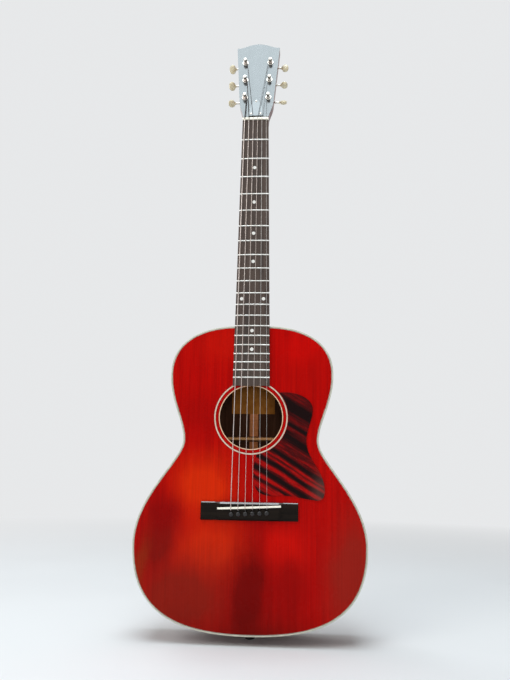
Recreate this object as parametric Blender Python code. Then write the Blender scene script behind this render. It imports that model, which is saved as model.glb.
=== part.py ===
"""Flat-top acoustic guitar, fourteen frets clear of the body, standing upright.

+X is the treble side, the front faces -Y and +Z runs up the neck. The origin is
the middle of the nut line on the soundboard's front plane. Units are metres.
"""
import math

import bmesh
import bpy
from mathutils import Vector
from mathutils.geometry import tessellate_polygon

GAP = 0.0003

# Strings and frets.
SCALE_LENGTH = 0.62865
FRET_COUNT = 20
STRING_COUNT = 6
STRING_SPREAD_NUT = 0.0358
STRING_SPREAD_SADDLE = 0.0544
STRING_RADII = (0.00068, 0.00053, 0.00041, 0.00031, 0.00021, 0.00016)
BOARD_CAMBER_RADIUS = 0.305

# Fretboard and neck.
NUT_WIDTH = 0.0429
BOARD_END_WIDTH = 0.0577
BOARD_END_Z = -0.4434
BOARD_THICKNESS = 0.0064
FRET_HEIGHT = 0.0011
FRET_WIDTH = 0.0023
NUT_DEPTH_Z = 0.0050
NUT_HEIGHT = 0.0086
NECK_DEPTH_NUT = 0.0145
NECK_DEPTH_HEEL = 0.0175
HEAD_TILT = math.radians(14.0)
HEAD_ROOT_Z = 0.0053
HEAD_THICKNESS = 0.0140
OVERLAY_THICKNESS = 0.0020
HEAD_EAR_U = 0.1553
HEAD_EAR_HALF = 0.0372
HEAD_DOME_U = 0.1643
NECK_TOP_Z = 0.0052
NECK_STEPS = 14
TENON_HALF_WIDTH = 0.0110
TENON_LENGTH = 0.0170
TENON_FRONT, TENON_BACK = 0.0080, 0.0780

# Heel: half width and reach up the neck shrink with the depth behind the board.
HEEL_DEPTHS = (0.0040, 0.0120, 0.0165, 0.0185, 0.0210, 0.0240, 0.0280, 0.0340, 0.0430, 0.0580, 0.0895)
HEEL_TIP_HALF, HEEL_FLARE_HALF, HEEL_FADE = 0.0055, 0.0218, 0.080
HEEL_TIP_REACH, HEEL_SWEEP, HEEL_FOLD = 0.0195, 0.00030, 0.0115
HEEL_SHALLOWEST = 0.0165
HEEL_CAP_THICKNESS = 0.0022

# Truss rod, its channel and the pocket for its nut.
ROD_RADIUS = 0.0022
ROD_DEPTH = 0.0053
ROD_LOW_Z, ROD_HIGH_Z = -0.3240, 0.0180
ROD_NUT_RADIUS = 0.0040
ROD_NUT_LOW_Z, ROD_NUT_HIGH_Z = 0.0060, 0.0165
CHANNEL_HALF, CHANNEL_DEPTH, CHANNEL_LOW_Z = 0.0032, 0.0100, -0.3300
POCKET_HALF, POCKET_DEPTH, POCKET_LOW_Z, POCKET_HIGH_Z = 0.0062, 0.0110, -0.0040, 0.0300

# Head face and its cover.
HEAD_CHEEK = (0.0284, 0.0320)
HEAD_DIP = (0.0280, 0.1563)
OVERLAY_START_U = 0.0022
COVER_HALF, COVER_LOW_U, COVER_HIGH_U = 0.0120, 0.0028, 0.0400
COVER_THICKNESS = 0.0016

# Body plan: half widths and heights of the outline's knots.
JOINT_Z = -0.3486
JOINT_FLAT_HALF = 0.0300
UPPER_Z, UPPER_HALF = -0.4252, 0.1275
WAIST_Z, WAIST_HALF = -0.5279, 0.1047
LOWER_Z, LOWER_HALF = -0.6845, 0.1779
TAIL_Z = -0.8143
TAIL_LEAD = 0.0924
LOWER_DROP, LOWER_RISE = 0.1100, 0.0719
WAIST_DROP, WAIST_RISE = 0.0305, 0.0303
UPPER_DROP, UPPER_RISE = 0.0445, 0.0735
JOINT_LEAD = 0.0104
SPAN_STEPS = (11, 9, 6, 9)

# Body depth, plates and trim.
DEPTH_MIDDLE = 0.1040
DEPTH_TAPER = 0.0259
BACK_ARCH_RADIUS = 4.5
BODY_MIDDLE_Z = -0.582
TOP_THICKNESS = 0.0028
BACK_THICKNESS = 0.0026
SIDE_THICKNESS = 0.0020
BINDING_WIDTH = 0.0023
BINDING_HEIGHT = 0.0064
LINING_WIDTH = 0.0055
LINING_HEIGHT = 0.0140
BLOCK_HALF_WIDTH = 0.0320
NECK_BLOCK_DEPTH = 0.0450
TAIL_BLOCK_DEPTH = 0.0250
BLOCK_CLEARANCE = 0.0030

# End pin: radius and distance below the tail, from its shank to its knob.
END_PIN_SHANK = (0.0039, 0.0180)
END_PIN_KNOB = ((0.0042, 0.0), (0.0075, 0.0), (0.0082, 0.0015), (0.0056, 0.0035), (0.0052, 0.0065),
                (0.0074, 0.0095), (0.0080, 0.0115), (0.0074, 0.0128), (0.0060, 0.0134))
END_PIN_BORE = ((0.0046, -0.010), (0.0043, 0.021))

# Bars under the top and across the back, and the plate under the bridge.
BRACE_END_SHARE, BRACE_END_SLOPE = 0.28, 3.2
CROSS_Z = -0.580
CROSS_HALF_ANGLE = math.radians(47.0)
CROSS_UPPER_REACH, CROSS_LOWER_REACH = 0.128, 0.205
CROSS_WIDTH, CROSS_HEIGHT, CROSS_LAP = 0.008, 0.015, 0.0002
TONE_BAR_START, TONE_BAR_END = (-0.118, -0.703), (0.062, -0.752)
TONE_BAR_WIDTH, TONE_BAR_HEIGHT = 0.007, 0.012
TRANSVERSE_Z, TRANSVERSE_HALF = -0.426, 0.112
TRANSVERSE_WIDTH, TRANSVERSE_HEIGHT = 0.012, 0.018
BACK_BRACES = ((-0.405, 0.110, 0.007, 0.014), (-0.522, 0.093, 0.007, 0.014),
               (-0.625, 0.147, 0.013, 0.010), (-0.725, 0.160, 0.013, 0.010))
BRIDGE_PLATE_HIGH_Z, BRIDGE_PLATE_LOW_Z = -0.6220, -0.6540
BRIDGE_PLATE_HIGH_HALF, BRIDGE_PLATE_LOW_HALF = 0.0370, 0.0680
BRIDGE_PLATE_THICKNESS = 0.0022

# Soundhole and its rings.
HOLE_Z = -0.4921
HOLE_RADIUS = 0.0487
HOLE_RING_OUTER = 0.0508
ROSETTE_INNER, ROSETTE_OUTER = 0.0544, 0.0576
ROSETTE_DEPTH = 0.0012
RING_SIDES = 40

# Pickguard: it follows the rosette, then runs through these corners of the plan.
GUARD_THICKNESS = 0.0012
GUARD_CLEARANCE = 0.0005
GUARD_FOLLOW_HIGH, GUARD_FOLLOW_LOW = math.radians(41.5), math.radians(-80.5)
GUARD_FOLLOW_STEPS = 12
GUARD_SHOULDER = (0.0955, -0.4785)
GUARD_HOLLOW = (0.0858, -0.5265)
GUARD_FLANK = (0.1138, -0.6020)
GUARD_CORNER = (0.1030, -0.6163)
GUARD_FOOT = (0.0500, -0.6097)
GUARD_LEFT = (0.0052, -0.5790)

# Bridge, saddle and pins.
BRIDGE_TOP_Z, BRIDGE_BOTTOM_Z = -0.6205, -0.6475
BRIDGE_HALF = 0.0740
BRIDGE_HEIGHT = 0.0086
BRIDGE_WING_HEIGHT = 0.0040
BRIDGE_PLATEAU_HALF = 0.0430
BRIDGE_SCOOP = 0.0100
BRIDGE_END_ROUND = 0.0008
BRIDGE_CHAMFER_SHARE, BRIDGE_CHAMFER_SLOPE = 0.30, 0.8
SADDLE_Z = -0.6279
SADDLE_SLANT = math.radians(2.7)
SADDLE_HALF_LENGTH = 0.0482
SADDLE_WIDTH = 0.0030
SADDLE_TOP = 0.0128
SADDLE_SLOT_FLOOR = 0.0036
SADDLE_ROUND = 0.0004
PIN_SPREAD = 0.0536
PIN_Z = -0.6372
PIN_HEAD_RADIUS = 0.0037
PIN_SHANK_RADIUS = 0.0026
PIN_TIP_RADIUS = 0.0021
PIN_TIP_Y = 0.0130
PIN_HOLE_RADIUS = 0.0030
STRING_SLOT_REACH = 0.0062
STRING_SLOT_HALF = 0.0011
STRING_RISE = 0.0041
BALL_RADIUS = 0.0019
BALL_REACH = 0.0049

# Tuning machines: three on a strip, worm and gear each.
POST_PITCH = 0.0389
POST_MIDDLE_U = 0.0818
POST_MIDDLE_X = 0.0207
POST_SPLAY = math.radians(1.3)
POST_RADIUS = 0.0030
POST_TOP = 0.0125
POST_HOLE_RADIUS = 0.0045
BARREL_RADIUS = 0.0039
BARREL_LOW, BARREL_HIGH = 0.0042, 0.0072
STRING_LIFT = 0.0058
GEAR_TEETH = 14
GEAR_MODULE = 0.0008
GEAR_HALF_THICKNESS = 0.00175
WORM_PITCH_RADIUS = 0.0030
WORM_CORE_RADIUS = 0.00215
WORM_TIP_RADIUS = 0.0036
WORM_TURNS = 3
SHAFT_RADIUS = 0.0016
WORM_LEVEL = -0.0194
WORM_HALF_LENGTH = 0.0044
TOOTH_TIP_HALF, TOOTH_ROOT_HALF = 0.00030, 0.00078
TOOTH_RISE, TOOTH_FALL = 0.0006, 0.00085
THREAD_TIP_HALF, THREAD_ROOT_HALF = 0.00026, 0.00078
SHAFT_INNER, SHAFT_OUTER = -0.0068, 0.0168
STRING_HOLE_RADIUS, STRING_HOLE_RISE = 0.0008, 0.0018
STRIP_THICKNESS = 0.0010
STRIP_HALF_WIDTH = 0.0078
STRIP_END_REACH = 0.0165
STRIP_END_ROUND = 0.0040
EAR_OFFSET, EAR_HALF_THICKNESS, EAR_SPAN = 0.0054, 0.0007, 0.0030
EAR_ROOT, EAR_RISE, EAR_SHOULDER = 0.0005, 0.0026, 0.0012
BUTTON_CENTRE = 0.0246
BUTTON_HALF_LENGTH = 0.0058
BUTTON_HALF_WIDTH = 0.0079
BUTTON_HALF_THICKNESS = 0.0036
BUTTON_ANGLES = (86.0, 66.0, 46.0, 3.0, 94.0, 136.0)

# Colour, roughness and metallic value of each finish.
FINISHES = {
    "cherry_spruce": ((0.42, 0.012, 0.008), 0.22, 0.0),
    "cherry_mahogany": ((0.16, 0.018, 0.010), 0.25, 0.0),
    "raw_spruce": ((0.55, 0.40, 0.24), 0.70, 0.0),
    "raw_mahogany": ((0.30, 0.15, 0.08), 0.70, 0.0),
    "rosewood": ((0.035, 0.022, 0.018), 0.50, 0.0),
    "ivoroid": ((0.72, 0.70, 0.60), 0.35, 0.0),
    "bone": ((0.82, 0.78, 0.66), 0.40, 0.0),
    "ebony": ((0.012, 0.011, 0.012), 0.30, 0.0),
    "tortoise_plastic": ((0.16, 0.010, 0.012), 0.15, 0.0),
    "black_lacquer": ((0.010, 0.010, 0.012), 0.10, 0.0),
    "cream_plastic": ((0.80, 0.74, 0.56), 0.30, 0.0),
    "nickel": ((0.66, 0.63, 0.57), 0.25, 1.0),
    "steel": ((0.45, 0.45, 0.47), 0.35, 1.0),
    "bronze": ((0.60, 0.38, 0.20), 0.35, 1.0),
}


def clear_scene():
    """Empty the scene."""
    for item in list(bpy.data.objects):
        bpy.data.objects.remove(item, do_unlink=True)


def finish_material(finish):
    """Material of a finish, made on first use."""
    material = bpy.data.materials.get(finish)
    if material is None:
        colour, roughness, metallic = FINISHES[finish]
        material = bpy.data.materials.new(finish)
        material.use_nodes = True
        shader = material.node_tree.nodes["Principled BSDF"]
        shader.inputs["Base Color"].default_value = (*colour, 1.0)
        shader.inputs["Roughness"].default_value = roughness
        shader.inputs["Metallic"].default_value = metallic
    return material


def place(name, mesh, parent=None, location=(0.0, 0.0, 0.0)):
    item = bpy.data.objects.new(name, mesh)
    bpy.context.scene.collection.objects.link(item)
    item.parent = parent
    item.location = location
    return item


def build_mesh(name, points, faces, finish, smooth=None):
    """Mesh from points and faces, its normals turned outwards."""
    mesh = bpy.data.meshes.new(name)
    shape = bmesh.new()
    corners = [shape.verts.new(point) for point in points]
    for face in faces:
        shape.faces.new([corners[index] for index in face])
    bmesh.ops.recalc_face_normals(shape, faces=shape.faces)
    shape.to_mesh(mesh)
    shape.free()
    mesh.materials.append(finish_material(finish))
    if smooth is not None:
        mesh.shade_smooth()
        mesh.set_sharp_from_angle(angle=math.radians(smooth))
    return mesh


def solid(name, points, faces, finish, smooth=None, parent=None, location=(0.0, 0.0, 0.0)):
    mesh = build_mesh(name, points, faces, finish, smooth)
    return place(name, mesh, parent, location)


def loft_faces(ring_count, ring_size, closed=False):
    """Quads between neighbouring rings, and end caps when the run is open."""
    faces = []
    spans = ring_count if closed else ring_count - 1
    for ring in range(spans):
        here = ring * ring_size
        ahead = ((ring + 1) % ring_count) * ring_size
        for corner in range(ring_size):
            beside = (corner + 1) % ring_size
            faces.append((here + corner, here + beside, ahead + beside, ahead + corner))
    if not closed:
        faces.append(tuple(range(ring_size)))
        faces.append(tuple(range((ring_count - 1) * ring_size, ring_count * ring_size)))
    return faces


def loft(name, rings, finish, smooth=None, parent=None, closed=False, location=(0.0, 0.0, 0.0)):
    points = [point for ring in rings for point in ring]
    faces = loft_faces(len(rings), len(rings[0]), closed)
    return solid(name, points, faces, finish, smooth, parent, location)


def prism(name, outline, low, high, finish, smooth=None, parent=None):
    """Outline of (x, z) pairs run through the body from depth low to high."""
    rings = [[(x, depth, z) for x, z in outline] for depth in (low, high)]
    return loft(name, rings, finish, smooth, parent)


def pierced_plate(name, loops, low, high, finish, smooth=None):
    """Flat plate in the XZ plane: the first loop is its edge, the others are holes."""
    flat = [[Vector((x, z, 0.0)) for x, z in loop] for loop in loops]
    triangles = tessellate_polygon(flat)
    plan = [point for loop in loops for point in loop]
    count = len(plan)
    points = [(x, low, z) for x, z in plan] + [(x, high, z) for x, z in plan]
    faces = [tuple(triangle) for triangle in triangles]
    faces += [tuple(index + count for index in reversed(triangle)) for triangle in triangles]
    start = 0
    for loop in loops:
        size = len(loop)
        for step in range(size):
            here = start + step
            beside = start + (step + 1) % size
            faces.append((here, beside, beside + count, here + count))
        start += size
    return solid(name, points, faces, finish, smooth)


def circle(centre_x, centre_z, radius, sides, start=0.0):
    turn = 2.0 * math.pi / sides
    return [(centre_x + radius * math.cos(start + step * turn),
             centre_z + radius * math.sin(start + step * turn)) for step in range(sides)]


def turned(profile, sides, axis="Z"):
    """Rings of a turned shape from (radius, distance) pairs along one axis."""
    rings = []
    for radius, distance in profile:
        ring = []
        for first, second in circle(0.0, 0.0, radius, sides):
            if axis == "Z":
                ring.append((first, second, distance))
            elif axis == "Y":
                ring.append((first, distance, second))
            else:
                ring.append((distance, first, second))
        rings.append(ring)
    return rings


def tube_rings(points, radii, sides):
    """Rings of a tube along points, mitred where the route bends."""
    route = [Vector(point) for point in points]
    rings = []
    side = Vector((1.0, 0.0, 0.0))
    for index, point in enumerate(route):
        before = route[max(index - 1, 0)]
        after = route[min(index + 1, len(route) - 1)]
        incoming = (point - before).normalized() if index else (after - point).normalized()
        outgoing = (after - point).normalized() if index < len(route) - 1 else incoming
        heading = (incoming + outgoing).normalized()
        side = (side - heading * side.dot(heading)).normalized()
        across = heading.cross(side)
        stretch = 1.0 / max(heading.dot(outgoing), 0.5)
        ring = []
        for first, second in circle(0.0, 0.0, radii[index], sides):
            ring.append(tuple(point + side * first + across * second * stretch))
        rings.append(ring)
    return rings


def combine(target, tool, operation):
    """Join a form to a solid, or cut it away, and keep the form out of sight."""
    tool.hide_render = True
    tool.display_type = "WIRE"
    modifier = target.modifiers.new(tool.name, "BOOLEAN")
    modifier.operation = operation
    modifier.solver = "EXACT"
    modifier.object = tool


def bezier(start, lead, pull, end, steps):
    """Points of a cubic curve, its end point left out."""
    points = []
    for step in range(steps):
        t = step / steps
        u = 1.0 - t
        weights = (u ** 3, 3.0 * u * u * t, 3.0 * u * t * t, t ** 3)
        corners = (start, lead, pull, end)
        points.append(tuple(sum(weight * corner[axis] for weight, corner in zip(weights, corners))
                            for axis in (0, 1)))
    return points


def camber(x):
    return x * x / (2.0 * BOARD_CAMBER_RADIUS)


def fret_z(number):
    return -SCALE_LENGTH * (1.0 - 2.0 ** (-number / 12.0))


def back_depth(x, z):
    """Depth of the arched, tapering back's outer face behind the soundboard plane."""
    along = z - BODY_MIDDLE_Z
    return DEPTH_MIDDLE - DEPTH_TAPER * along - (x * x + along * along) / (2.0 * BACK_ARCH_RADIUS)


def half_outline():
    """Treble half of the body plan, from the tail's middle up to the neck joint."""
    tail = (0.0, TAIL_Z)
    lower = (LOWER_HALF, LOWER_Z)
    waist = (WAIST_HALF, WAIST_Z)
    upper = (UPPER_HALF, UPPER_Z)
    joint = (JOINT_FLAT_HALF, JOINT_Z)
    steps = SPAN_STEPS
    points = bezier(tail, (TAIL_LEAD, TAIL_Z), (LOWER_HALF, LOWER_Z - LOWER_DROP), lower, steps[0])
    points += bezier(lower, (LOWER_HALF, LOWER_Z + LOWER_RISE),
                     (WAIST_HALF, WAIST_Z - WAIST_DROP), waist, steps[1])
    points += bezier(waist, (WAIST_HALF, WAIST_Z + WAIST_RISE),
                     (UPPER_HALF, UPPER_Z - UPPER_DROP), upper, steps[2])
    points += bezier(upper, (UPPER_HALF, UPPER_Z + UPPER_RISE),
                     (JOINT_FLAT_HALF + JOINT_LEAD, JOINT_Z), joint, steps[3])
    points.append(joint)
    return points


def inset(points, distance):
    """Half outline moved inwards along its own normals."""
    moved = []
    last = len(points) - 1
    for index, (x, z) in enumerate(points):
        if index == 0:
            moved.append((0.0, z + distance))
            continue
        if index == last:
            moved.append((x, z - distance))
            continue
        before, after = points[index - 1], points[index + 1]
        run_x, run_z = after[0] - before[0], after[1] - before[1]
        length = math.hypot(run_x, run_z)
        moved.append((x - run_z / length * distance, z + run_x / length * distance))
    return moved


def whole_outline(distance):
    """Closed body plan, inset by a distance, running once round."""
    treble = inset(half_outline(), distance)
    bass = [(-x, z) for x, z in reversed(treble[1:])]
    return treble + bass


def ribbon(name, outer, inner, front, back, finish, closed=False, smooth=None):
    """Strip between two plan curves; front and back give each point's depth."""
    rings = []
    for (outer_x, outer_z), (inner_x, inner_z) in zip(outer, inner):
        rings.append([(outer_x, front(outer_x, outer_z), outer_z),
                      (outer_x, back(outer_x, outer_z), outer_z),
                      (inner_x, back(inner_x, inner_z), inner_z),
                      (inner_x, front(inner_x, inner_z), inner_z)])
    return loft(name, rings, finish, smooth, closed=closed)


def constant(depth):
    """Depth rule of a face parallel to the soundboard."""
    return lambda x, z: depth


def above_back(clearance):
    """Depth rule of a face that follows the back's outer face at a clearance."""
    return lambda x, z: back_depth(x, z) - clearance


def string_x(index, spread):
    return spread * (index / (STRING_COUNT - 1) - 0.5)


def slanted(x, z):
    """Height of a point on a line that leans like the saddle."""
    return z + x * math.tan(SADDLE_SLANT)


def make_plates():
    """Soundboard with its rosette groove and pin holes, and the arched back."""
    plate_inset = BINDING_WIDTH + GAP
    edge = whole_outline(plate_inset)
    rim = circle(0.0, HOLE_Z, HOLE_RING_OUTER + GAP, RING_SIDES)
    keyholes = [keyhole_outline(index) for index in range(STRING_COUNT)]
    board = pierced_plate("soundboard", [edge, rim] + keyholes, 0.0, TOP_THICKNESS,
                          "cherry_spruce", smooth=30)
    groove = ring_solid("rosette_groove_form", ROSETTE_INNER - GAP, ROSETTE_OUTER + GAP,
                        -ROSETTE_DEPTH, ROSETTE_DEPTH + GAP, "cherry_spruce")
    combine(board, groove, "DIFFERENCE")
    rings = []
    columns = (-1.0, -0.5, 0.0, 0.5, 1.0)
    for x, z in inset(half_outline(), plate_inset):
        half = max(x, GAP)
        across = [column * half for column in columns]
        outer = [(place_x, back_depth(place_x, z), z) for place_x in across]
        inner = [(place_x, back_depth(place_x, z) - BACK_THICKNESS, z) for place_x in reversed(across)]
        rings.append(outer + inner)
    loft("back_plate", rings, "cherry_mahogany", smooth=30)


def ring_solid(name, inner, outer, low, high, finish):
    """Flat annulus about the soundhole's axis."""
    rings = []
    for (in_x, in_z), (out_x, out_z) in zip(circle(0.0, HOLE_Z, inner, RING_SIDES),
                                            circle(0.0, HOLE_Z, outer, RING_SIDES)):
        rings.append([(in_x, low, in_z), (out_x, low, out_z), (out_x, high, out_z), (in_x, high, in_z)])
    return loft(name, rings, finish, smooth=30, closed=True)


def make_rims():
    """Two bent sides, their linings and the bindings round both plates."""
    for side, name in ((-1.0, "bass"), (1.0, "treble")):
        outer = half_outline()
        inner = inset(outer, SIDE_THICKNESS)
        outer[0] = (GAP / 2.0, outer[0][1])
        inner[0] = (GAP / 2.0, inner[0][1])
        outer.append((TENON_HALF_WIDTH + 2.0 * GAP, outer[-1][1]))
        inner.append((TENON_HALF_WIDTH + 2.0 * GAP, inner[-1][1]))
        mirrored_outer = [(side * x, z) for x, z in outer]
        mirrored_inner = [(side * x, z) for x, z in inner]
        rim = ribbon(name + "_side", mirrored_outer, mirrored_inner, constant(BINDING_HEIGHT + GAP),
                     above_back(BINDING_HEIGHT + GAP), "cherry_mahogany", smooth=30)
        combine(rim, end_pin_bore(name + "_end_pin_bore_form"), "DIFFERENCE")
        make_linings(side, name)
    outline = whole_outline(0.0)
    inside = whole_outline(BINDING_WIDTH)
    ribbon("top_binding", outline, inside, constant(0.0), constant(BINDING_HEIGHT), "ivoroid",
           closed=True, smooth=30)
    ribbon("back_binding", outline, inside, above_back(BINDING_HEIGHT), above_back(0.0), "ivoroid",
           closed=True, smooth=30)


def make_linings(side, name):
    """Linings that join one side to both plates, between the end blocks."""
    clear = BINDING_WIDTH + GAP
    reach = BLOCK_HALF_WIDTH + GAP
    plan = half_outline()
    outer = inset(plan, clear)
    inner = inset(plan, clear + LINING_WIDTH)
    pairs = [(first, second) for first, second in zip(outer, inner)
             if second[0] > reach and first[0] > reach]
    outer = [(side * x, z) for (x, z), unused in pairs]
    inner = [(side * x, z) for unused, (x, z) in pairs]
    top_face = TOP_THICKNESS + GAP
    ribbon("top_lining_" + name, outer, inner, constant(top_face), constant(top_face + LINING_HEIGHT),
           "raw_mahogany")
    back_face = BACK_THICKNESS + GAP
    ribbon("back_lining_" + name, outer, inner, above_back(back_face + LINING_HEIGHT),
           above_back(back_face), "raw_mahogany")


def end_pin_bore(name):
    """Bore for the end pin, along Z through the tail."""
    middle = back_depth(0.0, TAIL_Z) / 2.0
    profile = [(radius, TAIL_Z + rise) for radius, rise in END_PIN_BORE]
    return loft(name, turned(profile, 12), "nickel", location=(0.0, middle, 0.0))


def make_blocks():
    """Neck block with the tenon's slot, and tail block with the end pin's bore."""
    front = TOP_THICKNESS + GAP
    high = JOINT_Z - BINDING_WIDTH - GAP
    low = JOINT_Z - NECK_BLOCK_DEPTH
    half = BLOCK_HALF_WIDTH - BLOCK_CLEARANCE
    slot_half = TENON_HALF_WIDTH + GAP
    slot_low = JOINT_Z - TENON_LENGTH - GAP
    outline = [(-half, low), (half, low), (half, high), (slot_half, high), (slot_half, slot_low),
               (-slot_half, slot_low), (-slot_half, high), (-half, high)]
    block_between("neck_block", outline, front)
    low = TAIL_Z + BINDING_WIDTH + 4.0 * GAP
    high = TAIL_Z + TAIL_BLOCK_DEPTH
    outline = [(-half, low), (half, low), (half, high), (-half, high)]
    tail = block_between("tail_block", outline, front)
    combine(tail, end_pin_bore("tail_block_bore_form"), "DIFFERENCE")
    middle = back_depth(0.0, TAIL_Z) / 2.0
    shank_radius, shank_length = END_PIN_SHANK
    profile = [(shank_radius, TAIL_Z + shank_length)]
    profile += [(radius, TAIL_Z - GAP - drop) for radius, drop in END_PIN_KNOB]
    loft("end_pin", turned(profile, 12), "ebony", smooth=40, location=(0.0, middle, 0.0))


def block_between(name, outline, front):
    """Block from the top plate to the back plate."""
    near = [(x, front, z) for x, z in outline]
    far = [(x, back_depth(x, z) - BACK_THICKNESS - 2.0 * GAP, z) for x, z in outline]
    return loft(name, [near, far], "raw_mahogany")


def brace(name, start, end, width, height, base, direction, steps=6):
    """Bar between two plan points, tall in the middle and tapered at its ends."""
    run = Vector((end[0] - start[0], end[1] - start[1]))
    across = Vector((-run.y, run.x)).normalized() * (width / 2.0)
    rings = []
    for step in range(steps + 1):
        t = step / steps
        x, z = start[0] + run.x * t, start[1] + run.y * t
        middle = min(1.0, BRACE_END_SLOPE * min(t, 1.0 - t))
        share = BRACE_END_SHARE + (1.0 - BRACE_END_SHARE) * middle
        foot = base(x, z)
        ridge = foot + direction * height * share
        rings.append([(x - across.x, foot, z - across.y), (x + across.x, foot, z + across.y),
                      (x + across.x * 0.5, ridge, z + across.y * 0.5),
                      (x - across.x * 0.5, ridge, z - across.y * 0.5)])
    return loft(name, rings, "raw_spruce")


def make_bracing():
    """X brace and bars under the top, the bridge plate, and the back's four bars."""
    top_base = constant(TOP_THICKNESS + GAP)
    rise_x, rise_z = math.sin(CROSS_HALF_ANGLE), math.cos(CROSS_HALF_ANGLE)
    high, low = CROSS_Z + rise_z * CROSS_UPPER_REACH, CROSS_Z - rise_z * CROSS_LOWER_REACH
    high_x, low_x = rise_x * CROSS_UPPER_REACH, rise_x * CROSS_LOWER_REACH
    first = brace("x_brace", (-high_x, high), (low_x, low), CROSS_WIDTH, CROSS_HEIGHT, top_base, 1.0)
    second = brace("x_brace_second_arm_form", (high_x, high), (-low_x, low), CROSS_WIDTH,
                   CROSS_HEIGHT - CROSS_LAP, top_base, 1.0)
    combine(first, second, "UNION")
    brace("tone_bar", TONE_BAR_START, TONE_BAR_END, TONE_BAR_WIDTH, TONE_BAR_HEIGHT, top_base, 1.0)
    brace("upper_transverse_brace", (-TRANSVERSE_HALF, TRANSVERSE_Z), (TRANSVERSE_HALF, TRANSVERSE_Z),
          TRANSVERSE_WIDTH, TRANSVERSE_HEIGHT, top_base, 1.0)
    back_base = above_back(BACK_THICKNESS + 2.0 * GAP)
    for number, (z, half, width, height) in enumerate(BACK_BRACES, start=1):
        brace("back_brace_%d" % number, (-half, z), (half, z), width, height, back_base, -1.0, steps=8)
    near = TOP_THICKNESS + GAP
    plate = [(-BRIDGE_PLATE_HIGH_HALF, BRIDGE_PLATE_HIGH_Z), (-BRIDGE_PLATE_LOW_HALF, BRIDGE_PLATE_LOW_Z),
             (BRIDGE_PLATE_LOW_HALF, BRIDGE_PLATE_LOW_Z), (BRIDGE_PLATE_HIGH_HALF, BRIDGE_PLATE_HIGH_Z)]
    keyholes = [keyhole_outline(index) for index in range(STRING_COUNT)]
    pierced_plate("bridge_plate", [plate] + keyholes, near, near + BRIDGE_PLATE_THICKNESS, "raw_mahogany")


def keyhole_outline(index):
    """Pin hole with the string's slot on its upper side, in plan."""
    x = string_x(index, PIN_SPREAD)
    z = slanted(x, PIN_Z)
    opening = math.asin(STRING_SLOT_HALF / PIN_HOLE_RADIUS)
    sweep = 2.0 * math.pi - 2.0 * opening
    start = math.pi / 2.0 + opening
    steps = 10
    outline = []
    for step in range(steps + 1):
        angle = start + sweep * step / steps
        outline.append((x + PIN_HOLE_RADIUS * math.cos(angle), z + PIN_HOLE_RADIUS * math.sin(angle)))
    outline.append((x + STRING_SLOT_HALF, z + STRING_SLOT_REACH))
    outline.append((x - STRING_SLOT_HALF, z + STRING_SLOT_REACH))
    return outline


def make_rings_and_guard():
    ring_solid("soundhole_binding", HOLE_RADIUS, HOLE_RING_OUTER, 0.0, TOP_THICKNESS, "ivoroid")
    ring_solid("rosette_ring", ROSETTE_INNER, ROSETTE_OUTER, 0.0, ROSETTE_DEPTH, "ivoroid")
    prism("pickguard", pickguard_outline(), -GAP - GUARD_THICKNESS, -GAP, "tortoise_plastic", smooth=30)


def pickguard_outline():
    """Flame-shaped guard that follows the rosette on its upper left side."""
    follow = ROSETTE_OUTER + GUARD_CLEARANCE
    outline = []
    for step in range(GUARD_FOLLOW_STEPS):
        share = step / GUARD_FOLLOW_STEPS
        angle = GUARD_FOLLOW_LOW + (GUARD_FOLLOW_HIGH - GUARD_FOLLOW_LOW) * share
        outline.append((follow * math.cos(angle), HOLE_Z + follow * math.sin(angle)))
    tip = (follow * math.cos(GUARD_FOLLOW_HIGH), HOLE_Z + follow * math.sin(GUARD_FOLLOW_HIGH))
    outline += bezier(tip, (0.066, -0.4505), (0.0955, -0.4600), GUARD_SHOULDER, 6)
    outline += bezier(GUARD_SHOULDER, (0.0955, -0.4950), (0.0858, -0.5120), GUARD_HOLLOW, 4)
    outline += bezier(GUARD_HOLLOW, (0.0858, -0.5560), (0.1138, -0.5700), GUARD_FLANK, 6)
    outline += bezier(GUARD_FLANK, (0.1138, -0.6110), (0.1100, -0.6168), GUARD_CORNER, 3)
    outline += bezier(GUARD_CORNER, (0.0820, -0.6145), (0.0660, -0.6097), GUARD_FOOT, 3)
    outline += bezier(GUARD_FOOT, (0.0190, -0.6130), (0.0052, -0.6080), GUARD_LEFT, 6)
    outline += bezier(GUARD_LEFT, (0.0052, -0.5660), (0.0065, -0.5570), outline[0], 3)
    return outline


def bridge_height(x):
    """Top of the bridge: level in the middle, scooped down to thin wings."""
    beyond = (abs(x) - BRIDGE_PLATEAU_HALF) / BRIDGE_SCOOP
    share = min(1.0, max(0.0, beyond))
    smooth_share = share * share * (3.0 - 2.0 * share)
    return BRIDGE_HEIGHT + (BRIDGE_WING_HEIGHT - BRIDGE_HEIGHT) * smooth_share


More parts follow.
